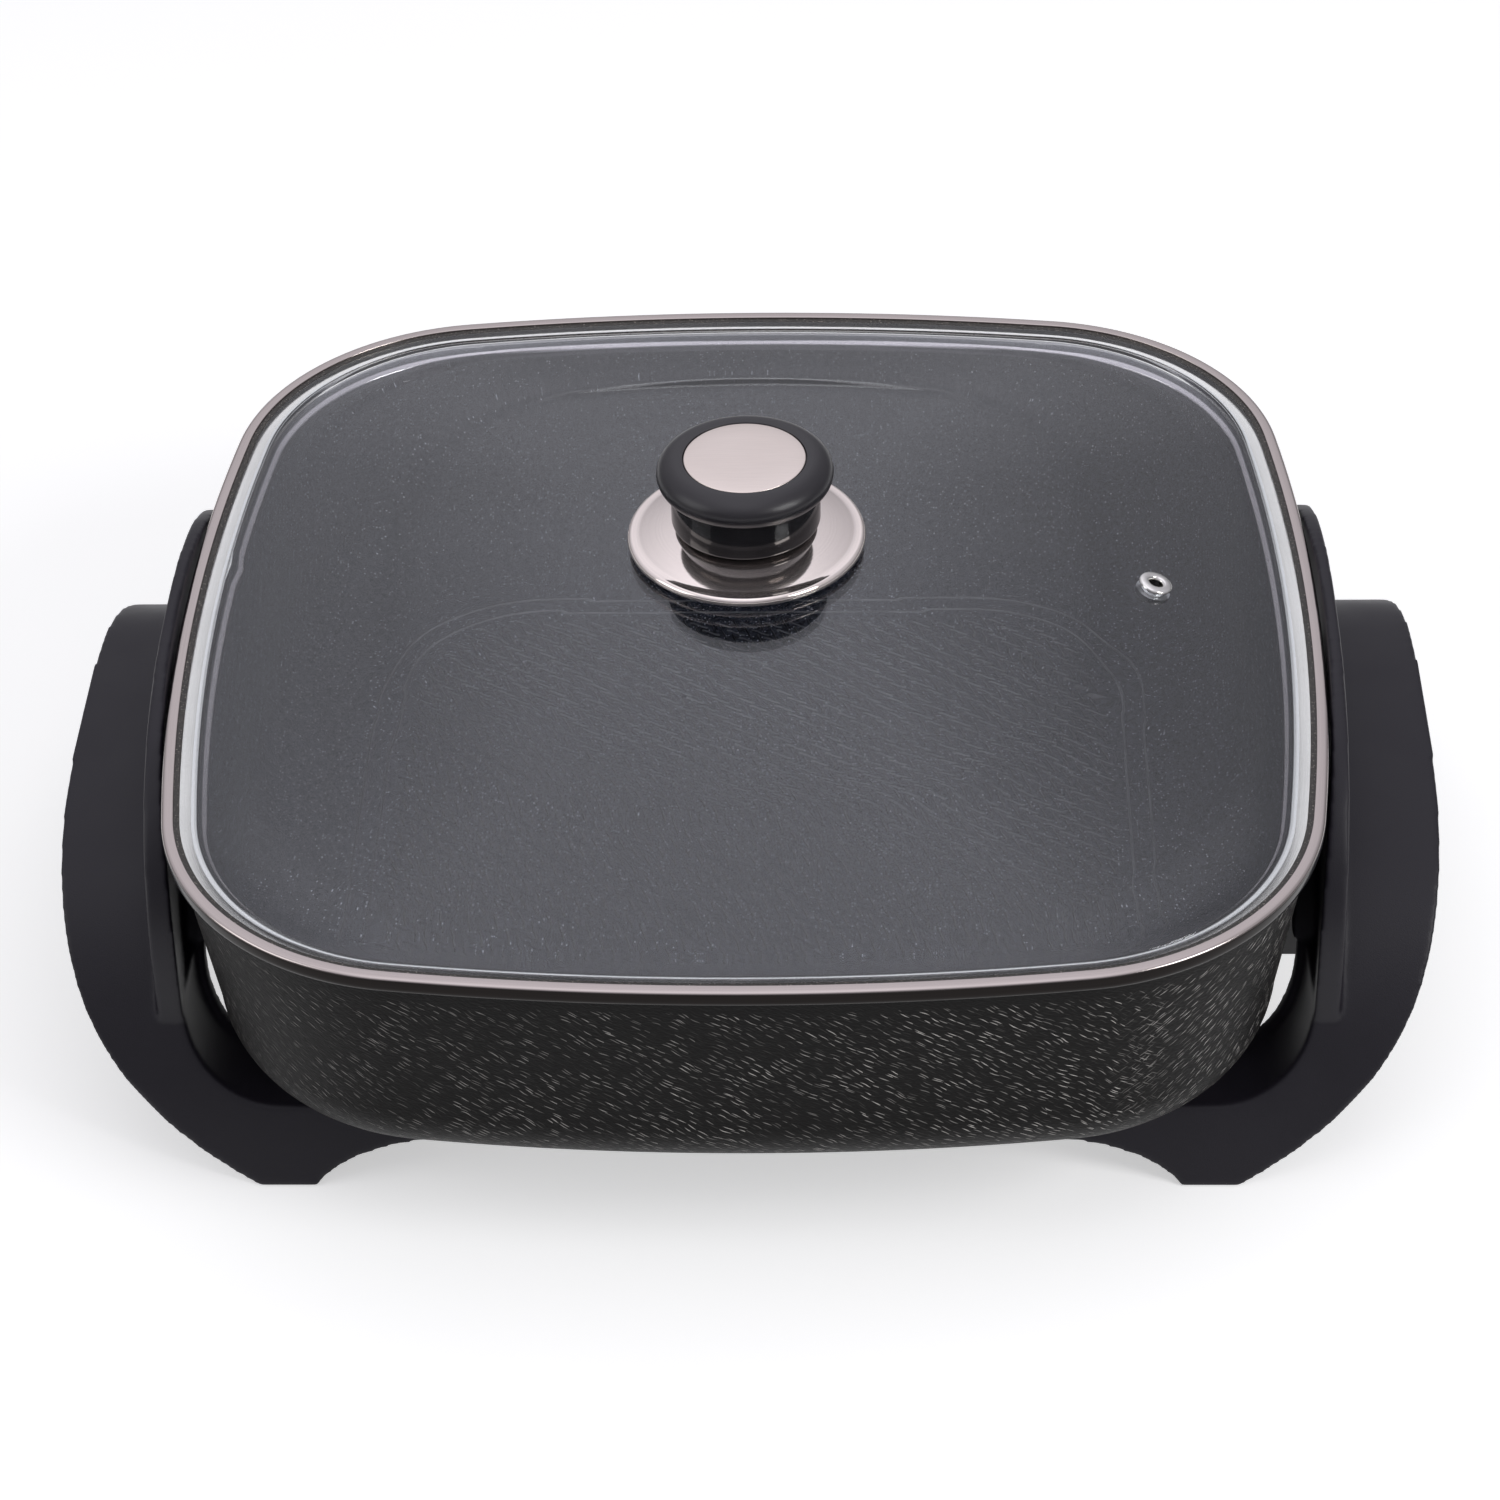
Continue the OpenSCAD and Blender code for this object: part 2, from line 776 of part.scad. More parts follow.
module strap() {
    color("darkgray")
        difference() {
            translate([boss[0] - strap_w / 2, -strap_end, bar_top])
                cube([strap_w, 2 * strap_end, strap_t]);
            for (y = [-1, 1]) {
                translate([boss[0], y * boss[1], 0])
                    cylinder(h = pan_base, r = bar_hole_r);
                translate([bar_screw[0], y * bar_screw[1], 0])
                    cylinder(h = pan_base, r = bar_hole_r);
            }
        }
}

module right_strap() {
    strap();
}

module left_strap() {
    mirror([1, 0, 0])
        strap();
}

module strap_screws() {
    color("gainsboro")
        four(boss)
            translate([0, 0, bar_top])
                screw(tap_r - fit_gap, bar_head_r, bar_head_h, tap_end - 0.5 - bar_top);
}

module handle_screws() {
    start = bar_low + bar_head;
    color("gainsboro")
        four(bar_screw)
            translate([0, 0, start])
                screw(bar_hole_r - 2 * fit_gap, bar_head_r, bar_head_h, boss_low + screw_proud - start);
}

lid_glass();
lid_rim();
steam_vent();
vent_washer();
knob_grip();
knob_cap();
knob_plate();
upper_gasket();
lower_gasket();
knob_washer();
knob_screw();
knob_insert();
pan();
heater_casting();
heating_element();
element_bushes();
terminal_pins();
terminal_plate();
probe_tube();
inlet_guard();
inlet_screws();
left_handle();
right_handle();
left_strap();
right_strap();
strap_screws();
handle_screws();
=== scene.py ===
# Electric skillet: coated pan on two black handles with legs, glass lid with a steel band and a knob.
# The frame is in metres, +Z up, handles along X, the front towards -Y. The shapes' sizes are in millimetres.
import math

import bmesh
import bpy
from mathutils import Matrix, Vector


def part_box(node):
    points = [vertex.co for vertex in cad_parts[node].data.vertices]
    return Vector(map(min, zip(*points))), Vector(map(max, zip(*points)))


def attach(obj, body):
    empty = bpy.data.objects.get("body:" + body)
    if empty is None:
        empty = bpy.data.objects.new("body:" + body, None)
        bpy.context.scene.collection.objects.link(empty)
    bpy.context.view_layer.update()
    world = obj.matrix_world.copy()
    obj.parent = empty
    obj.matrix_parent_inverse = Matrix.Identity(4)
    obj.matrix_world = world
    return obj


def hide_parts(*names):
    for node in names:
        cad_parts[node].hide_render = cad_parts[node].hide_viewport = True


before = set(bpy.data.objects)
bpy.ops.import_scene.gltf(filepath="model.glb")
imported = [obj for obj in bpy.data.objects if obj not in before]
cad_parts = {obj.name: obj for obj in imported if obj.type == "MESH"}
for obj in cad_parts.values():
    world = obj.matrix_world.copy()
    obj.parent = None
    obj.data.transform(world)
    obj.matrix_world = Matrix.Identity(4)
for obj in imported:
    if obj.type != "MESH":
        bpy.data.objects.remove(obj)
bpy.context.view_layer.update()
scene = bpy.context.scene
mm = 0.001
print("frame:", len(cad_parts), "nodes")

# camera, solved on the lid's outline and the feet
cameraView = {"place": (0.0359, -0.9382, 0.7974), "yaw": -2.23, "pitch": 38.07, "roll": -1.54,
              "lens": 102.67, "sensor": 36}
cameraTurn = (Matrix.Rotation(-math.radians(cameraView["yaw"]), 3, "Z")
              @ Matrix.Rotation(math.radians(90 - cameraView["pitch"]), 3, "X")
              @ Matrix.Rotation(math.radians(cameraView["roll"]), 3, "Z"))
bpy.ops.object.camera_add(location=cameraView["place"], rotation=cameraTurn.to_euler())
scene.camera = bpy.context.object
scene.camera.data.lens = cameraView["lens"]
scene.camera.data.sensor_width = cameraView["sensor"]
scene.view_settings.view_transform = "Standard"
print("camera placed")


# modelling helpers

def metres(points):
    return [(x * mm, z * mm) for x, z in points]


def deselect():
    bpy.ops.object.select_all(action="DESELECT")


def pick(piece):
    deselect()
    piece.select_set(True)
    bpy.context.view_layer.objects.active = piece


def rename(piece, name):
    piece.name = piece.data.name = name


def modify(piece, kind, **settings):
    # a modifier with its settings, applied at once
    modifier = piece.modifiers.new(kind, kind)
    for key, value in settings.items():
        setattr(modifier, key, value)
    pick(piece)
    bpy.ops.object.modifier_apply(modifier=modifier.name)


def closeUp(piece, smoothAngle=35):
    # doubles merged, faces turned outwards, smooth shading up to an angle
    pick(piece)
    bpy.ops.object.mode_set(mode="EDIT")
    bpy.ops.mesh.select_all(action="SELECT")
    bpy.ops.mesh.remove_doubles(threshold=1e-6)
    bpy.ops.mesh.normals_make_consistent(inside=False)
    bpy.ops.object.mode_set(mode="OBJECT")
    bpy.ops.object.shade_smooth_by_angle(angle=math.radians(smoothAngle))


def flatLoop(name, points, fill="NOTHING"):
    # a circle of vertices put on the points of a flat outline
    deselect()
    bpy.ops.mesh.primitive_circle_add(vertices=len(points), fill_type=fill)
    piece = bpy.context.object
    rename(piece, name)
    for vertex, point in zip(piece.data.vertices, points):
        vertex.co = point
    return piece


def prism(name, points, along):
    # a filled outline pushed along a direction
    piece = flatLoop(name, points, "NGON")
    bpy.ops.object.mode_set(mode="EDIT")
    bpy.ops.mesh.select_all(action="SELECT")
    bpy.ops.mesh.extrude_region_move(TRANSFORM_OT_translate={"value": along})
    bpy.ops.mesh.select_all(action="SELECT")
    bpy.ops.mesh.normals_make_consistent(inside=False)
    bpy.ops.object.mode_set(mode="OBJECT")
    return piece


def combine(piece, tool, operation):
    modify(piece, "BOOLEAN", object=tool, operation=operation, solver="EXACT")
    bpy.data.objects.remove(tool)


def drill(piece, radius, depth, place, tilt=0, sides=64):
    # a round hole, in millimetres, about a place on its axis
    deselect()
    bpy.ops.mesh.primitive_cylinder_add(vertices=sides, radius=radius * mm, depth=depth * mm,
                                        location=Vector(place) * mm, rotation=(0, tilt, 0))
    bpy.ops.object.transform_apply()
    combine(piece, bpy.context.object, "DIFFERENCE")


def joinAll(pieces):
    pick(pieces[0])
    for piece in pieces[1:]:
        piece.select_set(True)
    bpy.ops.object.join()
    return pieces[0]


def spun(name, points, steps=128):
    # a profile of radius and height, in millimetres, turned once round the upright axis
    piece = flatLoop(name, [(r, 0, z) for r, z in metres(points)])
    bpy.ops.object.mode_set(mode="EDIT")
    bpy.ops.mesh.select_all(action="SELECT")
    bpy.ops.mesh.spin(steps=steps, angle=2 * math.pi, center=(0, 0, 0), axis=(0, 0, 1))
    bpy.ops.object.mode_set(mode="OBJECT")
    closeUp(piece)
    return piece


def rounded(corners, steps=6):
    # corners of x, z and the length that a rounding takes off each side
    points = []
    for i, (x, z, cut) in enumerate(corners):
        here = Vector((x, z))
        if cut == 0:
            points.append(here)
            continue
        start = here + cut * (Vector(corners[i - 1][:2]) - here).normalized()
        end = here + cut * (Vector(corners[(i + 1) % len(corners)][:2]) - here).normalized()
        for k in range(steps + 1):
            t = k / steps
            points.append((1 - t) ** 2 * start + 2 * t * (1 - t) * here + t * t * end)
    return points


def smoothLine(points, steps=4):
    # a smooth curve through the points of an open profile
    ends = [Vector(p) for p in points]
    line = []
    for i in range(len(ends) - 1):
        here, there = ends[i], ends[i + 1]
        before, after = ends[max(i - 1, 0)], ends[min(i + 2, len(ends) - 1)]
        for k in range(steps):
            t = k / steps
            line.append(0.5 * (2 * here + (there - before) * t
                               + (2 * before - 5 * here + 4 * there - after) * t ** 2
                               + (3 * here - before - 3 * there + after) * t ** 3))
    return line + [ends[-1]]


def arc(centre, rx, rz, start, end, steps):
    angles = [math.radians(start + (end - start) * i / steps) for i in range(steps + 1)]
    return [(centre[0] + rx * math.cos(a), centre[1] + rz * math.sin(a)) for a in angles]


# the lid's outline, in metres: four bowed sides and four tangent corners
outline = {"half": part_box("lid_rim")[1].x, "bow": 0.680, "corner": 0.072, "sideSteps": 24, "cornerSteps": 40}
bowShift = outline["bow"] - outline["half"]
cornerMid = (math.sqrt(2 * (outline["bow"] - outline["corner"]) ** 2 - bowShift ** 2) - bowShift) / 2
sideAngle = math.atan(cornerMid / (bowShift + cornerMid))
quarterSteps = outline["sideSteps"] + outline["cornerSteps"]


def outlinePoint(step, inset):
    quarter, k = divmod(step, quarterSteps)
    if k < outline["sideSteps"]:
        angle = sideAngle * (2 * k / outline["sideSteps"] - 1)
        reach = outline["bow"] - inset
        point = Vector((reach * math.cos(angle) - bowShift, reach * math.sin(angle)))
    else:
        cornerAngle = math.pi / 2 - 2 * sideAngle
        angle = sideAngle + cornerAngle * (k - outline["sideSteps"]) / outline["cornerSteps"]
        reach = outline["corner"] - inset
        point = Vector((cornerMid + reach * math.cos(angle), cornerMid + reach * math.sin(angle)))
    return Matrix.Rotation(quarter * math.pi / 2, 2) @ point


def ringLoft(name, profile, capped=False, place=outlinePoint, count=4 * quarterSteps):
    # an outline extruded ring by ring along a profile of inset and height, with a map that wraps round it
    deselect()
    bpy.ops.mesh.primitive_circle_add(vertices=count, fill_type="NOTHING")
    piece = bpy.context.object
    rename(piece, name)
    stepNumber = piece.data.attributes.new("step", "INT", "POINT")
    stepNumber.data.foreach_set("value", list(range(count)))
    piece.data.attributes.new("row", "FLOAT", "POINT")
    bpy.ops.object.mode_set(mode="EDIT")
    bpy.ops.mesh.select_mode(type="EDGE")
    bpy.ops.mesh.select_all(action="SELECT")
    if capped:
        bpy.ops.mesh.edge_face_add()
        bpy.ops.mesh.select_all(action="SELECT")
    along = 0
    for i, (inset, z) in enumerate(profile):
        if i:
            bpy.ops.mesh.extrude_edges_indiv()
            along += math.hypot(inset - profile[i - 1][0], z - profile[i - 1][1])
        mesh = bmesh.from_edit_mesh(piece.data)
        step, row = mesh.verts.layers.int["step"], mesh.verts.layers.float["row"]
        for vertex in mesh.verts:
            if vertex.select:
                vertex.co = (*place(vertex[step], inset), z)
                vertex[row] = along
        bmesh.update_edit_mesh(piece.data)
    if capped:
        bpy.ops.mesh.edge_face_add()
    mesh = bmesh.from_edit_mesh(piece.data)
    step, row = mesh.verts.layers.int["step"], mesh.verts.layers.float["row"]
    wrap = mesh.loops.layers.uv.new("wrap")
    lengths = [0]
    for k in range(count):
        lengths.append(lengths[-1] + (place((k + 1) % count, 0) - place(k, 0)).length)
    for face in mesh.faces:
        steps = [corner.vert[step] for corner in face.loops]
        atSeam = len(steps) == 4 and max(steps) - min(steps) > 1
        for corner in face.loops:
            turn = count if atSeam and corner.vert[step] == 0 else 0
            corner[wrap].uv = (lengths[corner.vert[step] + turn], corner.vert[row])
    bmesh.update_edit_mesh(piece.data)
    bpy.ops.mesh.select_mode(type="VERT")
    bpy.ops.object.mode_set(mode="OBJECT")
    for helper in ("step", "row"):
        piece.data.attributes.remove(piece.data.attributes[helper])
    closeUp(piece)
    return piece


# material helpers

def newMaterial(name, colour, roughness, metallic=0.0, shine=0.5, **sockets):
    material = bpy.data.materials.new(name)
    material.use_nodes = True
    surface = material.node_tree.nodes["Principled BSDF"]
    surface.inputs["Base Color"].default_value = (*colour, 1)
    surface.inputs["Roughness"].default_value = roughness
    surface.inputs["Metallic"].default_value = metallic
    surface.inputs["Specular IOR Level"].default_value = shine
    for socket, value in sockets.items():
        surface.inputs[socket].default_value = value
    return material


def addNode(material, kind, links=None, settings=None, **values):
    # a node with its settings, its plain values and what is plugged into it
    node = material.node_tree.nodes.new(kind)
    for key, value in (settings or {}).items():
        setattr(node, key, value)
    for key, value in values.items():
        node.inputs[key].default_value = value
    for key, source in (links or {}).items():
        material.node_tree.links.new(source, node.inputs[key])
    return node


def plug(material, source, socket, shader="Principled BSDF"):
    material.node_tree.links.new(source, material.node_tree.nodes[shader].inputs[socket])


def objectSpace(material):
    return addNode(material, "ShaderNodeTexCoord").outputs["Object"]


def wrapMap(material):
    return addNode(material, "ShaderNodeUVMap", settings={"uv_map": "wrap"}).outputs["UV"]


def axes(material, vector):
    return addNode(material, "ShaderNodeSeparateXYZ", {"Vector": vector}).outputs


def stretched(material, vector, scale):
    node = addNode(material, "ShaderNodeMapping", {"Vector": vector}, Scale=scale)
    return node.outputs["Vector"]


def laidOut(material, vector, cell, turn):
    # a flat pattern of cells of a real size, turned by degrees
    node = addNode(material, "ShaderNodeMapping", {"Vector": vector}, {"vector_type": "TEXTURE"},
                   Scale=(*cell, 1), Rotation=(0, 0, math.radians(turn)))
    return node.outputs["Vector"]


def noise(material, vector, scale, detail=2.0, roughness=0.5):
    node = addNode(material, "ShaderNodeTexNoise", {"Vector": vector}, Scale=scale, Detail=detail,
                   Roughness=roughness)
    return node.outputs["Fac"]


def math2(material, operation, a, b):
    node = addNode(material, "ShaderNodeMath", settings={"operation": operation})
    for i, value in enumerate((a, b)):
        if isinstance(value, (int, float)):
            node.inputs[i].default_value = value
        else:
            material.node_tree.links.new(value, node.inputs[i])
    return node.outputs[0]


def times(material, a, b):
    return math2(material, "MULTIPLY", a, b)


def vectorMath(material, operation, a, b=None):
    # the second value is a vector, a scale or another node's output
    node = addNode(material, "ShaderNodeVectorMath", {0: a}, {"operation": operation})
    if isinstance(b, tuple):
        node.inputs[1].default_value = b
    elif isinstance(b, float):
        node.inputs["Scale"].default_value = b
    elif b is not None:
        material.node_tree.links.new(b, node.inputs[1])
    return node.outputs["Value" if operation == "LENGTH" else "Vector"]


def span(material, value, low, high, toLow, toHigh, smooth=False):
    kind = "SMOOTHSTEP" if smooth else "LINEAR"
    node = addNode(material, "ShaderNodeMapRange", {"Value": value}, {"interpolation_type": kind})
    for key, number in zip(("From Min", "From Max", "To Min", "To Max"), (low, high, toLow, toHigh)):
        node.inputs[key].default_value = number
    return node.outputs["Result"]


def blend(material, factor, first, second):
    # two colours, each plain or from a node
    node = addNode(material, "ShaderNodeMix", {"Factor": factor}, {"data_type": "RGBA"})
    for key, colour in (("A", first), ("B", second)):
        if isinstance(colour, tuple):
            node.inputs[key].default_value = (*colour, 1)
        else:
            material.node_tree.links.new(colour, node.inputs[key])
    return node.outputs["Result"]


def shades(colour, down, up):
    return tuple(c * down for c in colour), tuple(min(c * up, 1) for c in colour)


def relief(material, height, distance, strength=1.0):
    node = addNode(material, "ShaderNodeBump", {"Height": height}, Distance=distance, Strength=strength)
    plug(material, node.outputs["Normal"], "Normal")


# finishes

def handleFinish():
    # satin black moulding with a fine spark-eroded grain
    material = newMaterial("handleBlack", (0.012, 0.0105, 0.0155), 0.46, shine=0.32)
    space = objectSpace(material)
    cloud = noise(material, space, 45, 3)
    tone = blend(material, cloud, (0.0102, 0.0089, 0.0132), (0.0142, 0.0124, 0.0180))
    plug(material, tone, "Base Color")
    plug(material, span(material, cloud, 0.3, 0.7, 0.42, 0.5), "Roughness")
    relief(material, noise(material, space, 2600, 2), 0.00006, 0.6)
    return material


def knobFinish(headLow, fade=0.0015):
    # black moulding: satin head over a polished cup, with faint rubbing marks
    material = newMaterial("knobBlack", (0.010, 0.0094, 0.0108), 0.13)
    space = objectSpace(material)
    rub = noise(material, stretched(material, space, (300, 300, 2500)), 1, 3)
    head = span(material, axes(material, space)["Z"], headLow, headLow + fade, 0, 1)
    polish = span(material, rub, 0.35, 0.75, 0.06, 0.12)
    plug(material, math2(material, "ADD", polish, times(material, head, 0.26)), "Roughness")
    cupTone = blend(material, rub, (0.0085, 0.008, 0.0092), (0.0125, 0.0118, 0.0134))
    headTone = blend(material, rub, (0.013, 0.0115, 0.0145), (0.019, 0.017, 0.021))
    plug(material, blend(material, head, cupTone, headTone), "Base Color")
    return material


def acrossRings(material):
    # distance from the knob's axis, for marks that run round it
    place = axes(material, objectSpace(material))
    flat = addNode(material, "ShaderNodeCombineXYZ", {"X": place["X"], "Y": place["Y"]}).outputs["Vector"]
    reach = vectorMath(material, "LENGTH", flat)
    return addNode(material, "ShaderNodeCombineXYZ", {"X": reach}).outputs["Vector"]


def steelFinish(name, colour, roughness, depth, lines=None):
    # stainless sheet with its grain stretched along one direction, or round the knob's axis
    material = newMaterial(name, colour, roughness, 1.0)
    space = objectSpace(material)
    if lines:
        grain = noise(material, stretched(material, space, lines), 1, 4)
    else:
        grain = noise(material, acrossRings(material), 2400, 3)
    cloud = noise(material, space, 60, 2)
    plug(material, blend(material, grain, *shades(colour, 0.93, 1.06)), "Base Color")
    plug(material, span(material, cloud, 0.3, 0.7, roughness * 0.8, roughness * 1.25), "Roughness")
    relief(material, grain, depth)
    return material


def addHaze(material, colour, share):
    # a share of the shine is scattered by fine polishing marks
    haze = addNode(material, "ShaderNodeBsdfPrincipled", Metallic=1.0, Roughness=0.5)
    haze.inputs["Base Color"].default_value = (*colour, 1)
    surface = material.node_tree.nodes["Principled BSDF"].outputs["BSDF"]
    mix = addNode(material, "ShaderNodeMixShader", {1: surface, 2: haze.outputs["BSDF"]}, Fac=share)
    plug(material, mix.outputs["Shader"], "Surface", "Material Output")


def bandFinish(toneAndPaintedLightZones, fade=0.0002):
    # stainless band; each zone of a start row and two tones replaces the one before it. The zones paint light
    # and shade onto the one steel: painted shade on the outer side, the steel's own tone on the lip, painted
    # light on the flange, painted shade on the slope and a painted highlight on the hem.
    material = newMaterial("bandSteel", (0.52, 0.462, 0.44), 0.15, 1.0)
    wrap = wrapMap(material)
    grain = noise(material, stretched(material, wrap, (40, 5000, 1)), 1, 3)
    cloud = noise(material, objectSpace(material), 45, 3)
    row = axes(material, wrap)["Y"]
    # painted light and shade: each zone gives the same steel its own lighter or darker tone
    tone = blend(material, grain, *toneAndPaintedLightZones[0][1:])
    for start, dark, light in toneAndPaintedLightZones[1:]:
        reached = span(material, row, start - fade, start + fade, 0, 1)
        tone = blend(material, reached, tone, blend(material, grain, dark, light))
    plug(material, tone, "Base Color")
    plug(material, span(material, cloud, 0.3, 0.7, 0.11, 0.2), "Roughness")
    relief(material, grain, 0.00001)
    return material


def sealAndShadeFinish():
    # black strip along the lip, dark partly as sealing compound and partly as painted shade of the gap under
    # the lip, with painted glints as bright specks
    material = newMaterial("sealAndShadeBlack", (0.03, 0.026, 0.022), 0.4)
    space = objectSpace(material)
    mottle = noise(material, space, 900, 3, 0.7)
    # painted glints: bright specks in the colour
    paintedGlintSpecks = span(material, noise(material, space, 2300, 2), 0.62, 0.7, 0, 1)
    ground = blend(material, mottle, (0.002, 0.0016, 0.0013), (0.042, 0.036, 0.029))
    bright = blend(material, mottle, (0.25, 0.22, 0.19), (0.5, 0.45, 0.4))
    plug(material, blend(material, paintedGlintSpecks, ground, bright), "Base Color")
    relief(material, mottle, 0.0002)
    return material


def glassFinish():
    # clear pressed glass; shadow rays pass so that the pan below is lit
    material = newMaterial("lidGlass", (0.91, 0.93, 0.965), 0.0, IOR=1.5, **{"Transmission Weight": 1})
    relief(material, noise(material, objectSpace(material), 22, 1), 0.0004, 0.07)
    path = addNode(material, "ShaderNodeLightPath")
    clear = addNode(material, "ShaderNodeBsdfTransparent", Color=(0.84, 0.87, 0.89, 1))
    surface = material.node_tree.nodes["Principled BSDF"].outputs["BSDF"]
    mix = addNode(material, "ShaderNodeMixShader",
                  {0: path.outputs["Is Shadow Ray"], 1: surface, 2: clear.outputs["BSDF"]})
    plug(material, mix.outputs["Shader"], "Surface", "Material Output")
    return material


# the pan's outer coat, in metres on its wrapped map and degrees
crinkle = {"cell": (0.0037, 0.0013), "dash": (2.0, 8.2, 0), "bright": 0.64, "falling": -36, "rising": 34,
           "turnsAt": (0.092, 0.112), "driftScale": 110, "push": 0.0028, "plainFrom": (0.097, 0.0985),
           "wrinkle": (0.0016, 0.0006), "wrinkleTurn": -24}


def strokes(material, bent, turn):
    # thin dashes, one about the middle of each cell and a share of them bright; in the colour the bright ones
    # are painted glints
    laid = laidOut(material, bent, crinkle["cell"], turn)
    cells = addNode(material, "ShaderNodeTexVoronoi", {"Vector": laid}, {"voronoi_dimensions": "2D"},
                    Scale=1.0)
    lot = addNode(material, "ShaderNodeSeparateColor", {"Color": cells.outputs["Color"]})
    away = vectorMath(material, "SUBTRACT", laid, cells.outputs["Position"])
    reach = vectorMath(material, "LENGTH", vectorMath(material, "MULTIPLY", away, crinkle["dash"]))
    body = span(material, reach, 0.45, 1, 1, 0, True)
    return times(material, body, span(material, lot.outputs["Red"], 1 - crinkle["bright"], 1, 0.04, 1))


def panOutsideFinish():
    # dark coat with short hair-like crinkles that lie along each other; their pale colour is painted glints,
    # stronger towards the right as painted light
    material = newMaterial("panCrinkle", (0.006, 0.0058, 0.006), 0.45, shine=0.09)
    wrap = wrapMap(material)
    drift = addNode(material, "ShaderNodeTexNoise", {"Vector": wrap}, Scale=crinkle["driftScale"], Detail=2.0)
    push = vectorMath(material, "SCALE", drift.outputs["Color"], crinkle["push"])
    bent = vectorMath(material, "ADD", wrap, push)
    place = axes(material, objectSpace(material))
    across = place["X"]
    falling = times(material, strokes(material, bent, crinkle["falling"]),
                    span(material, across, *crinkle["turnsAt"], 1, 0, True))
    rising = times(material, strokes(material, bent, crinkle["rising"]),
                   span(material, across, *crinkle["turnsAt"], 0, 1, True))
    patches = times(material, span(material, noise(material, wrap, 60, 2), 0.35, 0.6, 0.3, 1, True),
                    span(material, place["Z"], *crinkle["plainFrom"], 1, 0))
    # painted light: the crinkles' glints and relief grow towards the right
    side = span(material, across, -0.15, 0.12, 0.35, 1.35, True)
    stroke = times(material, math2(material, "MAXIMUM", falling, rising), times(material, patches, side))
    wrinkled = laidOut(material, bent, crinkle["wrinkle"], crinkle["wrinkleTurn"])
    leather = noise(material, wrinkled, 1, 2)
    # painted glints: the crinkles take a pale colour
    plug(material, blend(material, stroke, (0.0046, 0.0041, 0.0038), (0.85, 0.82, 0.77)), "Base Color")
    plug(material, span(material, leather, 0.3, 0.7, 0.38, 0.54), "Roughness")
    relief(material, math2(material, "ADD", stroke, times(material, leather, 0.55)), 0.0003)
    return material


def panInsideFinish():
    # blue-grey non-stick coat with a fine grain, and a sparkle painted in as bright specks: painted glints
    material = newMaterial("panCoat", (0.011, 0.012, 0.017), 0.5, shine=0.05)
    space = objectSpace(material)
    flakes = addNode(material, "ShaderNodeTexVoronoi", {"Vector": space}, Scale=1500)
    lot = addNode(material, "ShaderNodeSeparateColor", {"Color": flakes.outputs["Color"]}).outputs
    # painted glints: a share of the cells gets a bright colour
    paintedGlint = times(material, span(material, flakes.outputs["Distance"], 0.0, 0.36, 1, 0),
                  math2(material, "GREATER_THAN", lot["Red"], 0.82))
    ground = blend(material, lot["Green"], (0.0005, 0.0006, 0.0020), (0.0240, 0.0255, 0.0330))
    bright = blend(material, lot["Blue"], (0.20, 0.21, 0.26), (0.60, 0.62, 0.70))
    plug(material, blend(material, paintedGlint, ground, bright), "Base Color")
    plug(material, span(material, noise(material, space, 30, 3), 0.3, 0.7, 0.46, 0.58), "Roughness")
    relief(material, noise(material, space, 900, 3), 0.00008, 0.7)
    return material


def ridgeFinish(name, front, back):
    # the coat on the raised strokes, painted darker at the front left and lighter towards the back right as
    # painted shade and light, broken up at random
    material = newMaterial(name, back, 0.45, shine=0.1)
    space = objectSpace(material)
    place = axes(material, space)
    # painted light: lighter towards the back right
    along = math2(material, "ADD", place["Y"], times(material, place["X"], 0.45))
    paintedLightToBack = times(material, span(material, along, -0.035, 0.05, 0, 1, True),
                   span(material, noise(material, space, 90, 2), 0.35, 0.65, 0.4, 1))
    plug(material, blend(material, paintedLightToBack, front, back), "Base Color")
    return material


def plainFinish(name, colour, roughness, metallic=0.0, grainScale=700, depth=0.00005):
    # small parts: a slightly uneven colour, sheen and surface
    material = newMaterial(name, colour, roughness, metallic)
    space = objectSpace(material)
    cloud = noise(material, space, grainScale / 6, 3)
    plug(material, blend(material, cloud, *shades(colour, 0.82, 1.15)), "Base Color")
    sheen = span(material, cloud, 0.3, 0.7, max(roughness - 0.07, 0.05), roughness + 0.08)
    plug(material, sheen, "Roughness")
    relief(material, noise(material, space, grainScale, 2), depth)
    return material


handleBlack = handleFinish()
knobBlack = knobFinish(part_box("knob_grip")[1].z - 0.0085)
plateTone = (0.85, 0.767, 0.725)
plateSteel = steelFinish("plateSteel", plateTone, 0.06, 0.000006)
addHaze(plateSteel, plateTone, 0.12)
capSteel = steelFinish("capSteel", (0.765, 0.68, 0.632), 0.33, 0.00003, (120, 4000, 120))
eyeletSteel = steelFinish("eyeletSteel", (0.80, 0.785, 0.76), 0.16, 0.00001, (900, 900, 900))
lidGlass = glassFinish()
panCrinkle = panOutsideFinish()
panCoat = panInsideFinish()
# painted light and shade: the lying strokes and border lines lighter, the standing strokes darker
lyingCoatPaintedLight = ridgeFinish("lyingCoatPaintedLight", (0.012, 0.0125, 0.016), (0.092, 0.092, 0.096))
standingCoatPaintedShade = ridgeFinish("standingCoatPaintedShade", (0.0006, 0.0006, 0.001), (0.009, 0.0095, 0.013))
print("finishes made")


def dress(piece, material, body, slot, *nodes):
    # finish, unless the piece has its own, body and the nodes that the piece stands for
    if material:
        piece.data.materials.clear()
        piece.data.materials.append(material)
    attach(piece, body)
    if nodes:
        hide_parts(*nodes)


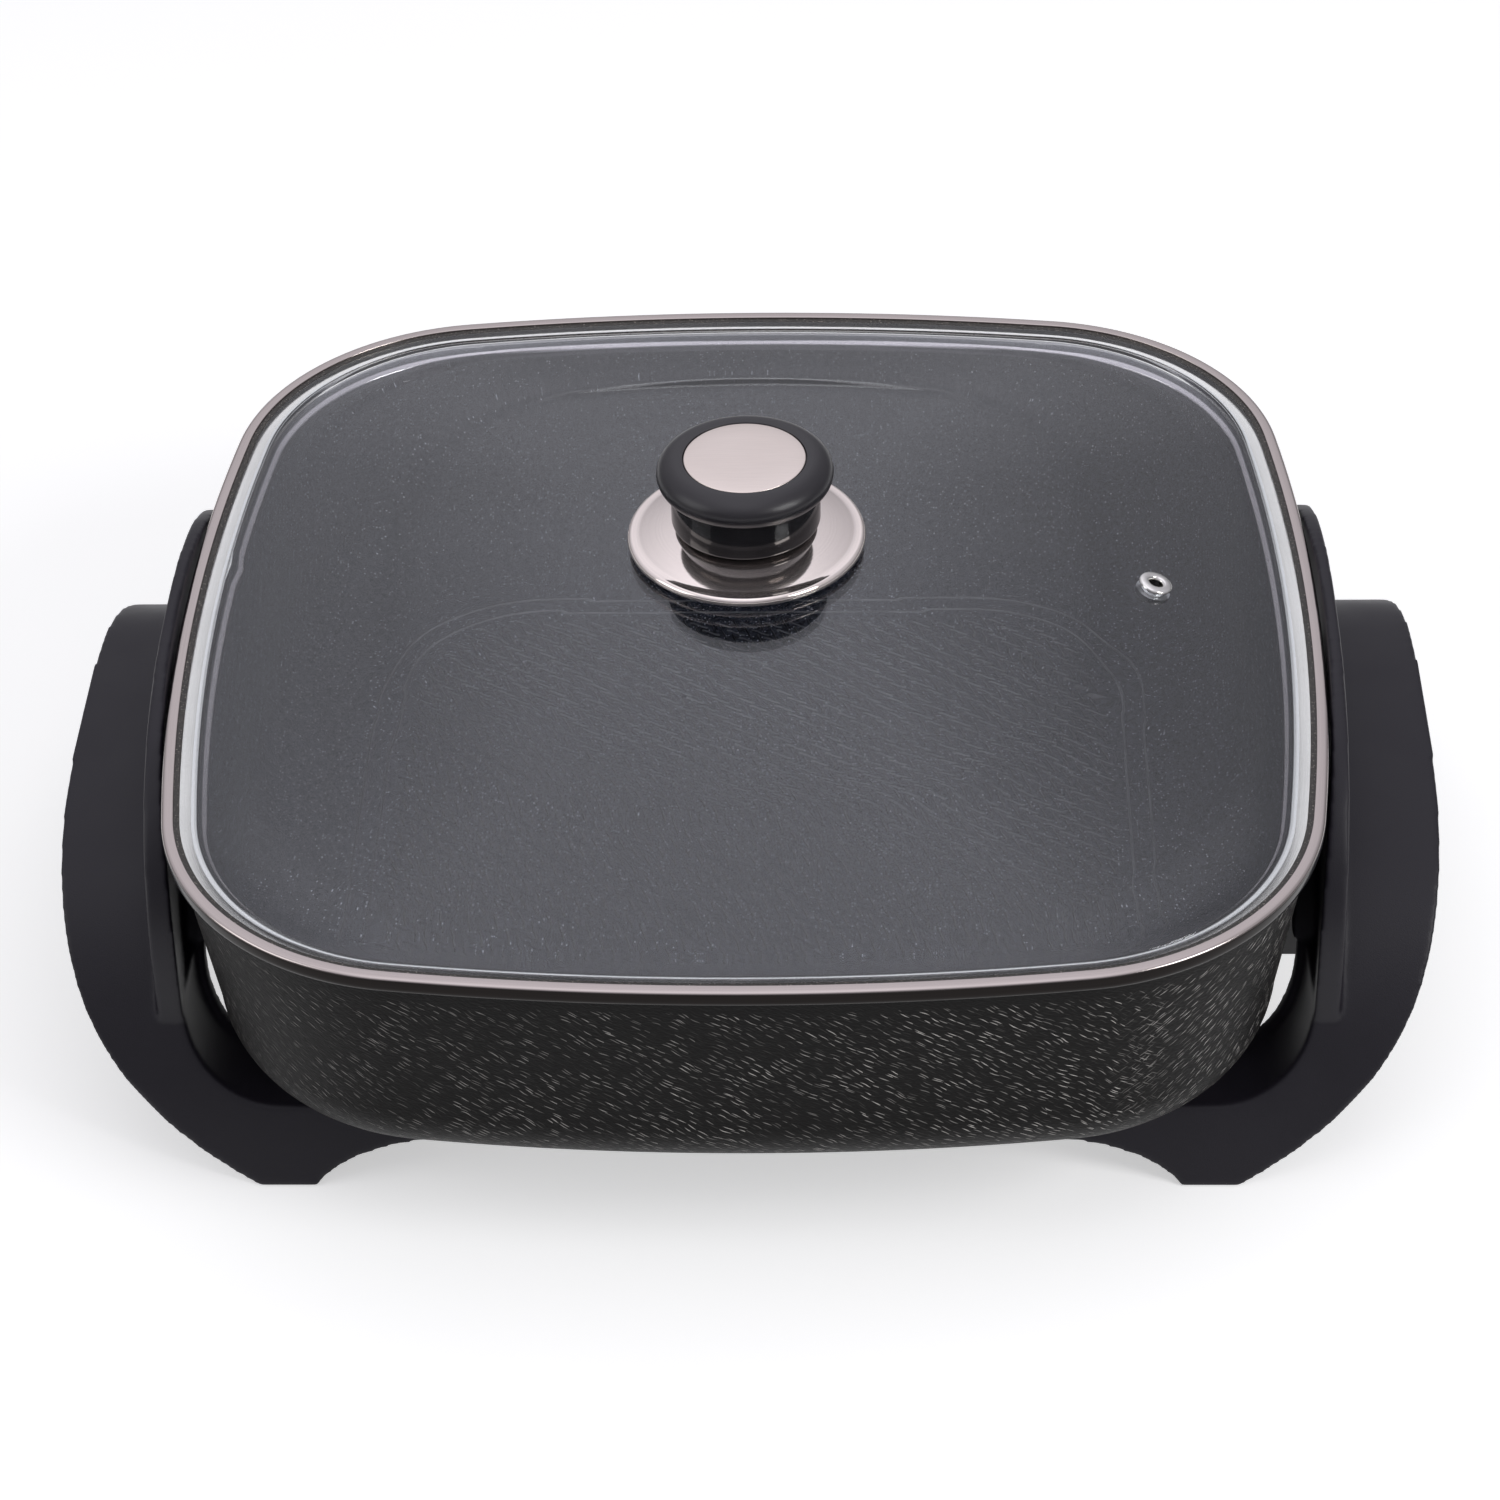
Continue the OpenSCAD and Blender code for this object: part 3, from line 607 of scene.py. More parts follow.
# lid: pressed glass dome; its edge is a list of inset and share of the rise
glassShape = {"seat": 103.7, "top": 107.3, "thick": 3.6, "rim": 108, "crown": 134.6, "crownRadius": 14,
              "crownSteps": 8, "underShift": 0.9, "flatTop": 5, "flatUnder": 8, "evenTo": 14, "evenFade": 8,
              "edge": [(9, 0), (12, 0.045), (16, 0.098), (22, 0.165), (30, 0.246), (38, 0.327), (46, 0.409),
                       (54, 0.49)],
              "outset": 1, "edgeRound": 1.1, "knobHole": 4.2, "ventHole": 3.4, "ventAt": 110,
              "ventRun": 0.303, "drill": 20}
lidHalf = outline["half"] / mm
domeRise = glassShape["crown"] - glassShape["rim"]
domeEnd = glassShape["edge"][-1]
domeReach = lidHalf - domeEnd[0]
ventHeight = (glassShape["rim"] + domeEnd[1] * domeRise
              - (glassShape["ventAt"] - domeReach) * glassShape["ventRun"])
ventTilt = math.atan(glassShape["ventRun"])


def domePoint(step, inset):
    # offset from the edge at first, then rounder and rounder towards the crown
    flat = outlinePoint(step, 0)
    reach = outline["half"] - inset
    endReach = domeReach * mm
    endRound = domeEnd[0] / lidHalf / 2
    roundness = inset / outline["half"] / 2 if reach > endReach else 1 - reach / endReach * (1 - endRound)
    inner = flat * ((1 - roundness) * reach / outline["half"] + roundness * reach / flat.length)
    share = min(max((inset / mm - glassShape["evenTo"]) / glassShape["evenFade"], 0), 1)
    evenInset = min(inset, (glassShape["evenTo"] + glassShape["evenFade"]) * mm)
    return outlinePoint(step, evenInset).lerp(inner, share)


def domeLine(shift, drop):
    line = [(x + shift, glassShape["rim"] + share * domeRise - drop) for x, share in glassShape["edge"]]
    crownRadius = glassShape["crownRadius"]
    for i in range(1, glassShape["crownSteps"] + 1):
        reach = domeReach + (crownRadius - domeReach) * i / glassShape["crownSteps"]
        share = (reach ** 2 - crownRadius ** 2) / (domeReach ** 2 - crownRadius ** 2)
        line.append((lidHalf - reach, glassShape["crown"] - drop - share * (1 - domeEnd[1]) * domeRise))
    return line


edgeRound = glassShape["edgeRound"]
edgeStart = glassShape["outset"] + edgeRound
upperLine = smoothLine([(edgeStart, glassShape["top"]), (glassShape["flatTop"], glassShape["top"])]
                       + domeLine(0, 0))
underLine = smoothLine([(edgeStart, glassShape["seat"]), (glassShape["flatUnder"], glassShape["seat"])]
                       + domeLine(glassShape["underShift"], glassShape["thick"]))
edgeLine = (arc((edgeStart, glassShape["seat"] + edgeRound), -edgeRound, edgeRound, -75, 0, 5)
            + arc((edgeStart, glassShape["top"] - edgeRound), -edgeRound, edgeRound, 0, 75, 5))
glassPanel = ringLoft("glassPanel", metres(underLine[::-1] + edgeLine + upperLine), True, domePoint)
drill(glassPanel, glassShape["knobHole"], glassShape["drill"], (0, 0, glassShape["crown"]))
ventPlace = (glassShape["ventAt"], 0, ventHeight)
drill(glassPanel, glassShape["ventHole"], glassShape["drill"], ventPlace, ventTilt)
closeUp(glassPanel, 25)
dress(glassPanel, lidGlass, "lid", "lid_glass", "lid_glass")
print("glass done:", len(glassPanel.data.polygons), "faces")

# lid: roll-formed band with a hemmed skirt and a lapped joint, and a black strip along its lip that is partly
# sealing compound and partly painted shade
# the tone zones: where each starts on the profile, and its two tones: painted shade on the outer side, the
# steel's own tone on the lip, painted light on the flange, painted shade on the slope, a painted highlight on
# the hem
bandShape = {"corners": [(0, 103, 2.3), (0, 108, 1.1), (3.2, 108, 0.3), (3.2, 107.3, 0.25), (0.7, 107.3, 0.9),
                         (0.7, 103.7, 1.3), (9.4, 103.7, 0.5), (11, 102.2, 0.3), (12.4, 101.3, 0.6),
                         (12.4, 99, 0.3), (11.7, 99, 0.3), (11.7, 100.7, 0.4), (10.6, 101.4, 0.3),
                         (9.1, 103, 0.5)],
             "toneAndPaintedLightZones": [((2.3, 103), (0.012, 0.0105, 0.010), (0.022, 0.019, 0.018)),
                       ((0.1, 107.46), (0.428, 0.380, 0.363), (0.512, 0.457, 0.436)),
                       ((0.7, 104.6), (0.82, 0.81, 0.745), (0.93, 0.92, 0.85)),
                       ((9.4, 103.7), (0.045, 0.045, 0.05), (0.08, 0.08, 0.085)),
                       ((11.1, 102.1), (0.62, 0.58, 0.57), (0.74, 0.69, 0.68))],
             "jointStep": 2.125, "jointHalf": 1.0, "jointLap": 0.8, "jointFrom": 5,
             "sealAndShade": [(3.1, 107.28), (3.1, 107.5), (3.5, 107.5), (4.5, 107.4), (4.75, 107.28)]}
bandLine = metres(rounded(bandShape["corners"]))
bandLine = bandLine + bandLine[:1]
bandRows = [0]
for before, here in zip(bandLine, bandLine[1:]):
    bandRows.append(bandRows[-1] + math.dist(before, here))


def rowAt(x, z):
    # the row of the profile's point nearest to a place
    return min(zip(bandLine, bandRows), key=lambda spot: math.dist(spot[0], (x * mm, z * mm)))[1]


def bandPoint(step, inset):
    # the outline, with the flange a little wider where the band's ends lap
    away = abs(step / quarterSteps - bandShape["jointStep"]) * quarterSteps / bandShape["jointHalf"]
    lap = max(1 - away, 0) if inset > bandShape["jointFrom"] * mm else 0
    return outlinePoint(step, inset + lap * bandShape["jointLap"] * mm)


bandSteel = bandFinish([(rowAt(*place), dark, light) for place, dark, light in bandShape["toneAndPaintedLightZones"]])
lidBand = ringLoft("lidBand", bandLine, place=bandPoint)
dress(lidBand, bandSteel, "lid", "rim_steel", "lid_rim")
# painted shade: partly a seal, the black strip stands for the dark gap between the lip and the glass
sealAndShadeRing = ringLoft("sealAndShadeRing", metres(bandShape["sealAndShade"] + bandShape["sealAndShade"][:1]))
dress(sealAndShadeRing, sealAndShadeFinish(), "lid", "gasket_rubber")
print("band done")

# lid: knob with its steel cap and hand guard
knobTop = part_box("knob_grip")[1].z / mm
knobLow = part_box("knob_grip")[0].z / mm
gripShape = {"foot": 14.5, "footOut": 1.8, "footLift": 0.3, "cup": 20, "cupRound": 1.2, "cupLift": 0.6,
             "head": 8.4, "groove": 19, "grooveLow": 0.8, "grooveBack": 0.7, "headMid": 17.6, "headDrop": 4.8,
             "headReach": 6, "headRise": 4.6, "well": 16.5, "wellDeep": 1.2}
headLow = knobTop - gripShape["head"]
wellLow = knobTop - gripShape["wellDeep"]
foot, cup, cupRound = gripShape["foot"], gripShape["cup"], gripShape["cupRound"]
groove, well = gripShape["groove"], gripShape["well"]
gripLine = ([(0, knobLow), (foot, knobLow), (foot + gripShape["footOut"], knobLow + gripShape["footLift"])]
            + arc((cup - cupRound, knobLow + gripShape["cupLift"] + cupRound), cupRound, cupRound, -90, 0, 10)
            + rounded([(cup, headLow - gripShape["grooveLow"], 0.3),
                       (groove, headLow - gripShape["grooveBack"], 0.2), (groove, headLow, 0.2),
                       (cup, headLow, 0.25)], 4)
            + arc((gripShape["headMid"], knobTop - gripShape["headDrop"]), gripShape["headReach"],
                  gripShape["headRise"], -50, 85, 36)
            + [(well + 0.1, knobTop - 0.3), (well, knobTop - 0.45), (well, wellLow), (0, wellLow)])
knobGrip = spun("knobGrip", gripLine)
dress(knobGrip, knobBlack, "lid", "knob_black", "knob_grip")
capShape = {"reach": 16.3, "edge": 0.35, "bend": 12, "bendDrop": 0.1}
capReach = capShape["reach"]
capLine = rounded([(0, wellLow, 0), (capReach, wellLow, 0), (capReach, knobTop - capShape["edge"], 0.35),
                   (capShape["bend"], knobTop - capShape["bendDrop"], 2), (0, knobTop, 0)])
knobCap = spun("knobCap", capLine)
dress(knobCap, capSteel, "lid", "cap_steel", "knob_cap")
plateShape = {"seat": 16, "bend": 29.4, "dome": 3.4, "sheet": 1.2, "roll": 1.3, "edge": 32, "hole": 2.8,
              "steps": 16}
seat, bend, roll = plateShape["seat"], plateShape["bend"], plateShape["roll"]
slope = []
for i in range(plateShape["steps"] + 1):
    reach = seat + (bend - seat) * i / plateShape["steps"]
    fall = (reach ** 2 - seat ** 2) / (bend ** 2 - seat ** 2)
    slope.append((reach, knobLow - plateShape["dome"] * fall))
rollMid = (plateShape["edge"] - roll, knobLow - plateShape["dome"] - roll)
plateLine = ([(plateShape["hole"], knobLow - plateShape["sheet"])]
             + [(r, z - plateShape["sheet"]) for r, z in slope]
             + arc(rollMid, roll, roll, -170, 90, 24) + slope[::-1] + [(plateShape["hole"], knobLow)])
knobPlate = spun("knobPlate", plateLine)
dress(knobPlate, plateSteel, "lid", "plate_steel", "knob_plate")
print("knob done")

# lid: steam eyelet, square to the dome
eyeletShape = {"hole": 1.85, "clinch": 4, "clinchTop": -5, "clinchLow": -5.6, "barrel": 3.2, "flange": 4.75,
               "flangeLow": 0.1, "proud": 1.2}
hole, clinch, brim = eyeletShape["hole"], eyeletShape["clinch"], eyeletShape["flange"]
eyeletLine = rounded([
    (hole, eyeletShape["clinchLow"], 0), (clinch, eyeletShape["clinchLow"], 0.2),
    (clinch, eyeletShape["clinchTop"], 0.2), (eyeletShape["barrel"], eyeletShape["clinchTop"], 0),
    (eyeletShape["barrel"], eyeletShape["flangeLow"], 0), (brim, eyeletShape["flangeLow"], 0.2),
    (brim - 0.15, 0.85, 0.45), (brim - 1.2, eyeletShape["proud"], 0.6),
    (hole + 0.5, eyeletShape["proud"] - 0.05, 0.4), (hole, 0.5, 0.3)])
steamEyelet = spun("steamEyelet", eyeletLine, 64)
steamEyelet.rotation_euler.y = ventTilt
steamEyelet.location = Vector(ventPlace) * mm
pick(steamEyelet)
bpy.ops.object.transform_apply()
dress(steamEyelet, eyeletSteel, "lid", "vent_steel", "steam_vent")
print("eyelet done")

# base: cast pan, crinkled outside and smooth inside
panShape = {"base": 31.5, "floor": 36.5, "cap": 38, "flatEdge": 34, "outerRound": 24, "innerRound": 20.5,
            "bendHeight": 79, "bendOut": 6.5, "bendIn": 10, "inset": 3, "seat": 102.7, "lip": 3,
            "lipCut": 0.5, "lipDrop": 0.8}
outerRound, innerRound = panShape["outerRound"], panShape["innerRound"]
lipOut, lipLow = panShape["inset"], panShape["seat"] - panShape["lipDrop"]
lipIn = lipOut + panShape["lip"]
outerMid = (panShape["flatEdge"], panShape["base"] + outerRound)
innerMid = (panShape["flatEdge"], panShape["floor"] + innerRound)
outerLine = ([(panShape["cap"], panShape["base"])] + arc(outerMid, -outerRound, outerRound, -90, 0, 14)
             + [(panShape["bendOut"], panShape["bendHeight"]), (lipOut, lipLow),
                (lipOut + panShape["lipCut"], panShape["seat"])])
innerLine = ([(lipIn, panShape["seat"]), (lipIn + panShape["lipCut"], lipLow),
              (panShape["bendIn"], panShape["bendHeight"])]
             + arc(innerMid, -innerRound, innerRound, 0, -90, 14) + [(panShape["cap"], panShape["floor"])])
panBody = ringLoft("panBody", metres(outerLine + innerLine), capped=True)
dress(panBody, panCrinkle, "base", "pan_coat", "pan")
panBody.data.materials.append(panCoat)
inside = [face for face in panBody.data.polygons
          if face.normal.z > 0.95 or face.normal.dot((face.center.x, face.center.y, 0)) < 0]
for face in inside:
    face.material_index = 1
print("pan done:", len(inside), "faces inside")

# base: raised pattern on the pan's floor, a basket of lying and standing strokes inside two border lines
# strokes: length and wave
patternShape = {"halfX": 112, "halfY": 105, "corner": 50, "cornerSteps": 24, "lineGap": 6, "pitchX": 7.4,
                "pitchY": 3.7, "lying": (5.2, 1.2), "standing": (5.6, 0.8), "width": 0.8, "rise": 0.36,
                "sunk": 0.12, "clear": 5, "segments": 6, "shoulder": (0.4, 0.8)}
borderSteps = patternShape["cornerSteps"]
floorZ = panShape["floor"]
floorLow, floorHigh = floorZ - patternShape["sunk"], floorZ + patternShape["rise"]
ridge = patternShape["width"] / 2


def borderPoint(step, inset):
    # rounded border, four corners of so many steps
    quarter, k = divmod(step, borderSteps)
    corner = patternShape["corner"] * mm
    angle = math.pi / 2 * (quarter + k / (borderSteps - 1))
    sideX = math.copysign(patternShape["halfX"] * mm - corner, 1 if quarter in (0, 3) else -1)
    sideY = math.copysign(patternShape["halfY"] * mm - corner, 1 if quarter in (0, 1) else -1)
    return Vector((sideX + (corner - inset) * math.cos(angle), sideY + (corner - inset) * math.sin(angle)))


def inBorder(x, y):
    # in millimetres, with room left to the inner line
    corner = patternShape["corner"]
    overX = max(abs(x) - patternShape["halfX"] + corner, 0)
    overY = max(abs(y) - patternShape["halfY"] + corner, 0)
    return math.hypot(overX, overY) < corner - patternShape["lineGap"] - patternShape["clear"]


def floorBead(inset):
    # one border line, a low rounded ridge
    half = ridge * patternShape["shoulder"][0]
    high = floorZ + patternShape["rise"] * patternShape["shoulder"][1]
    line = [(inset - ridge, floorLow), (inset - half, high), (inset, floorHigh), (inset + half, high),
            (inset + ridge, floorLow), (inset - ridge, floorLow)]
    bead = ringLoft("floorBead", metres(line), False, borderPoint, 4 * borderSteps)
    bead.data.materials.append(lyingCoatPaintedLight)
    return bead


def wavyDash(length, wave, standing):
    # one stroke: a three-sided section carried along a bend that levels out at both ends
    section = [(-ridge, floorLow), (ridge, floorLow), (0, floorHigh)]
    dash = flatLoop("wavyDash", [(-length / 2 * mm, v * mm, z * mm) for v, z in section], "NGON")
    stretch = (length / patternShape["segments"] * mm, 0, 0)
    bpy.ops.object.mode_set(mode="EDIT")
    bpy.ops.mesh.select_all(action="SELECT")
    for i in range(patternShape["segments"]):
        bpy.ops.mesh.extrude_region_move(TRANSFORM_OT_translate={"value": stretch})
    bpy.ops.object.mode_set(mode="OBJECT")
    for vertex in dash.data.vertices:
        x, y = vertex.co.x, vertex.co.y - wave * mm * math.sin(math.pi * vertex.co.x / (length * mm))
        vertex.co.x, vertex.co.y = (-y, -x) if standing else (x, y)
    return dash


def spread(piece, count, step):
    modify(piece, "ARRAY", count=count, use_relative_offset=False, use_constant_offset=True,
           constant_offset_displace=step)


pitchX, pitchY = patternShape["pitchX"], patternShape["pitchY"]
columns = 2 * int(patternShape["halfX"] / pitchX)
rowPairs = 2 * int(patternShape["halfY"] / pitchY / 2)
dashes = []
for shift, lift, standing in ((0, 0, False), (0.5, 1, False), (0.5, 0, True), (0, 1, True)):
    dash = wavyDash(*patternShape["standing" if standing else "lying"], standing)
    originX, originY = (shift - columns / 2) * pitchX, (lift - rowPairs) * pitchY
    dash.location = (originX * mm, originY * mm, 0)
    bpy.ops.object.transform_apply()
    spread(dash, columns + 1, (pitchX * mm, 0, 0))
    spread(dash, rowPairs + 1, (0, 2 * pitchY * mm, 0))
    bpy.ops.object.mode_set(mode="EDIT")
    bpy.ops.mesh.select_all(action="DESELECT")
    mesh = bmesh.from_edit_mesh(dash.data)
    for vertex in mesh.verts:
        column = round((vertex.co.x / mm - originX) / pitchX)
        row = round((vertex.co.y / mm - originY) / (2 * pitchY))
        vertex.select = not inBorder(originX + column * pitchX, originY + row * 2 * pitchY)
    mesh.select_flush_mode()
    bmesh.update_edit_mesh(dash.data)
    bpy.ops.mesh.delete(type="VERT")
    bpy.ops.object.mode_set(mode="OBJECT")
    dash.data.materials.append(standingCoatPaintedShade if standing else lyingCoatPaintedLight)
    dashes.append(dash)
floorPattern = joinAll([floorBead(0), floorBead(patternShape["lineGap"])] + dashes)
rename(floorPattern, "floorPattern")
closeUp(floorPattern, 60)
dress(floorPattern, None, "base", "pan_coat")
print("floor pattern done:", len(floorPattern.data.polygons), "faces")

# base: handles, each an arched grip with two legs, a finger guard beside the rim and a lip inside
handleShape = {"top": 77, "reach": 110.5, "mix": 0.14, "depth": 22, "shell": 4, "outer": 186, "footOut": 131,
               "footIn": 115.5, "edgeMix": 0.25, "barIn": 64, "barBend": 82.5, "barLow": 12, "barTop": 21,
               "barPower": 0.75, "openIn": 149.9, "openX": 26, "openZ": 24.5, "web": 16, "rimGap": 0.7,
               "flange": 2.4, "flangeTop": 7, "flangeDepth": 4, "sole": 6, "sideShare": 1.2}
screwShape = {"x": 78, "y": 92, "hole": 2.2, "head": 4.4, "headDeep": 3, "sides": 48}
guardShape = {"outer": 159.2, "bow": 1700, "top": 111.9, "half": 90, "power": 2.7, "overlap": 3, "behind": 2,
              "run": 20}
cutShape = {"archFrom": 50, "archRun": 150, "half": 160, "towerHalf": 150, "towerBack": 60, "towerRise": 200}
roundShape = {"cell": 0.55, "passes": 26, "factor": 0.5, "faces": 110000}
archSteps, arcSteps, edgeSteps = 90, 24, 60
gripTop, gripOut = handleShape["top"], handleShape["outer"]
barLow, barTop = handleShape["barLow"], handleShape["barTop"]
openTop = barTop + handleShape["openZ"]
openMid = (handleShape["openIn"] - handleShape["openX"], openTop)
webX = openMid[0] + handleShape["web"]
rimReach = lidHalf + handleShape["rimGap"]
rimBow = outline["bow"] / mm + handleShape["rimGap"]


def archPoint(y, depth):
    # a point at a depth under the arch's surface, as Y and Z
    u = y / handleShape["reach"]
    mix = handleShape["mix"]
    z = gripTop * (1 - mix * u ** 2 - (1 - mix) * u ** 4)
    steep = -gripTop / handleShape["reach"] * (2 * mix * u + 4 * (1 - mix) * u ** 3)
    size = math.hypot(1, steep)
    return y + depth * steep / size, z - depth / size


def archBand(start, end):
    # what lies between two depths under the arch
    stations = [handleShape["reach"] * i / archSteps for i in range(-archSteps, archSteps + 1)]
    line = [archPoint(y, start) for y in stations] + [archPoint(y, end) for y in reversed(stations)]
    return prism("archBand", [(cutShape["archFrom"] * mm, y * mm, z * mm) for y, z in line],
                 (cutShape["archRun"] * mm, 0, 0))


def sidePrism(points):
    # an outline in X and Z carried from front to back
    return prism("sidePrism", [(x * mm, -cutShape["half"] * mm, z * mm) for x, z in points],
                 (0, 2 * cutShape["half"] * mm, 0))


def tower(reach, bow, low):
    # everything inside a wide upright arc
    half, back = cutShape["towerHalf"], cutShape["towerBack"]
    angles = [math.asin(half / bow) * i / edgeSteps for i in range(-edgeSteps, edgeSteps + 1)]
    line = [(reach - bow + bow * math.cos(a), bow * math.sin(a)) for a in angles]
    line += [(back, half), (back, -half)]
    return prism("tower", [(x * mm, y * mm, low * mm) for x, y in line], (0, 0, cutShape["towerRise"] * mm))


def edgeX(t):
    # the leg's outer edge, from the top to the foot
    mix = handleShape["edgeMix"]
    return handleShape["footOut"] + (gripOut - handleShape["footOut"]) * (1 - mix * t - (1 - mix) * t ** 3)


def openingArc(moreX, moreZ):
    # the round end of the finger opening, widened
    return arc(openMid, handleShape["openX"] + moreX, handleShape["openZ"] + moreZ, 0, -90, arcSteps)


outerEdge = [(edgeX(1 - i / edgeSteps), gripTop * i / edgeSteps) for i in range(edgeSteps + 1)]
barSweep = handleShape["footIn"] - handleShape["barBend"]
underBar = [(handleShape["barBend"] + barSweep * i / arcSteps,
             barLow * (1 - (i / arcSteps) ** 2) ** handleShape["barPower"]) for i in range(arcSteps + 1)]
rightGrip = archBand(0, handleShape["depth"])
combine(rightGrip, sidePrism(
    [(handleShape["barIn"], barLow)] + underBar + outerEdge
    + [(gripOut, gripTop + 1), (webX, gripTop + 1), (webX, openTop)]
    + openingArc(0, 0) + [(handleShape["barIn"], barTop)]), "INTERSECT")
shell, sole = handleShape["shell"], handleShape["sole"]
sideWall = shell * handleShape["sideShare"]
hollow = archBand(shell, handleShape["depth"] + 1)
combine(hollow, sidePrism(
    [(handleShape["footIn"] + shell + 1, sole)] + [(x - sideWall, z) for x, z in outerEdge if z > sole]
    + [(gripOut - sideWall, gripTop + 1), (guardShape["outer"] + 1, gripTop + 1),
       (guardShape["outer"] + 1, openTop + shell)] + openingArc(shell, shell)), "INTERSECT")
combine(rightGrip, hollow, "DIFFERENCE")
combine(rightGrip, tower(rimReach, rimBow, openTop), "DIFFERENCE")
guardHalf, guardPower = guardShape["half"], 2 / guardShape["power"]
guardBase = archPoint(guardHalf, 0)[1]
guardRise = guardShape["top"] - guardBase
guardAngles = [math.pi * i / 96 for i in range(97)]
guardTop = [(guardHalf * math.copysign(abs(math.cos(a)) ** guardPower, math.cos(a)),
             guardBase + guardRise * math.sin(a) ** guardPower) for a in guardAngles]
guardFoot = [archPoint(guardHalf * i / 30, guardShape["overlap"]) for i in range(-30, 31)]
guardFrom = (handleShape["openIn"] - guardShape["behind"]) * mm
fingerGuard = prism("fingerGuard", [(guardFrom, y * mm, z * mm) for y, z in guardTop + guardFoot],
                    (guardShape["run"] * mm, 0, 0))
combine(fingerGuard, tower(guardShape["outer"], guardShape["bow"], 0), "INTERSECT")
combine(fingerGuard, tower(rimReach, rimBow, -10), "DIFFERENCE")
innerLip = archBand(handleShape["depth"] - handleShape["flangeDepth"], handleShape["depth"])
combine(innerLip, sidePrism(
    [(rimReach + 1, openTop), (rimReach + 1, gripTop), (webX, gripTop), (webX, openTop)]
    + openingArc(-handleShape["flange"], 0) + openingArc(1, 1)[::-1]), "INTERSECT")
lipBack = handleShape["flangeTop"]
combine(innerLip, tower(rimReach - lipBack, rimBow - lipBack, openTop), "DIFFERENCE")
for part in (fingerGuard, innerLip):
    combine(rightGrip, part, "UNION")
rename(rightGrip, "rightGrip")
modify(rightGrip, "REMESH", mode="VOXEL", voxel_size=roundShape["cell"] * mm)
modify(rightGrip, "SMOOTH", factor=roundShape["factor"], iterations=roundShape["passes"])
modify(rightGrip, "DECIMATE", ratio=roundShape["faces"] / 2 / len(rightGrip.data.polygons))
for y in (-screwShape["y"], screwShape["y"]):
    for radius, top in ((screwShape["hole"], barTop + 1),
                        (screwShape["head"], barLow + screwShape["headDeep"])):
        drill(rightGrip, radius, top, (screwShape["x"], y, top / 2), sides=screwShape["sides"])
closeUp(rightGrip, 40)
pick(rightGrip)
bpy.ops.object.duplicate()
leftGrip = bpy.context.object
rename(leftGrip, "leftGrip")
leftGrip.scale.x = -1
bpy.ops.object.transform_apply()
closeUp(leftGrip, 40)
dress(rightGrip, handleBlack, "base", "handle_black", "right_handle")
dress(leftGrip, handleBlack, "base", "handle_black", "left_handle")
print("handles done:", len(rightGrip.data.polygons), "faces each")

# base: heating element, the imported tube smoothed
elementTube = bpy.data.objects.new("elementTube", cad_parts["heating_element"].data.copy())
scene.collection.objects.link(elementTube)
closeUp(elementTube, 60)
modify(elementTube, "SUBSURF", levels=1, render_levels=1)
sheathOxide = plainFinish("sheathOxide", (0.17, 0.165, 0.155), 0.5, 1.0)
dress(elementTube, sheathOxide, "base", "element_sheath", "heating_element")

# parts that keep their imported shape: colour, roughness, metal and nodes
smallFinishes = {
    "gasketRubber": ((0.022, 0.022, 0.023), 0.62, 0, ("upper_gasket", "lower_gasket")),
    "zincPlate": ((0.62, 0.61, 0.59), 0.3, 1, ("vent_washer", "knob_washer", "knob_screw", "inlet_screws",
                                               "strap_screws", "handle_screws")),
    "insertBrass": ((0.72, 0.52, 0.22), 0.3, 1, ("knob_insert",)),
    "castAluminium": ((0.48, 0.48, 0.48), 0.5, 1, ("heater_casting",)),
    "bushCeramic": ((0.72, 0.69, 0.62), 0.6, 0, ("element_bushes",)),
    "pinNickel": ((0.70, 0.68, 0.64), 0.22, 1, ("terminal_pins",)),
    "boardBrown": ((0.14, 0.075, 0.045), 0.55, 0, ("terminal_plate",)),
    "probeSteel": ((0.66, 0.64, 0.62), 0.25, 1, ("probe_tube",)),
    "guardPaint": ((0.022, 0.021, 0.022), 0.45, 0, ("inlet_guard",)),
    "strapSteel": ((0.50, 0.49, 0.48), 0.4, 1, ("left_strap", "right_strap"))}
for name, (colour, roughness, metallic, nodes) in smallFinishes.items():
    finish = plainFinish(name, colour, roughness, metallic)
    for node in nodes:
        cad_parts[node].data.materials.clear()
        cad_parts[node].data.materials.append(finish)
print("small parts done")

# floor: pale paint that stays white where it is seen or mirrored
floorShape = {"size": 2.6, "drop": 0.0002, "paint": (0.86, 0.86, 0.86), "glow": 0.5}
deselect()
bpy.ops.mesh.primitive_plane_add(size=floorShape["size"], location=(0, 0, -floorShape["drop"]))
floor = bpy.context.object
floor.name = "floor"
bpy.ops.object.transform_apply()
floorPaint = newMaterial("floorPaint", floorShape["paint"], 0.9, shine=0, **{"Emission Color": (1, 1, 1, 1)})


def mirroredRay(material, path):
    return math2(material, "MAXIMUM", path["Is Glossy Ray"], path["Is Transmission Ray"])


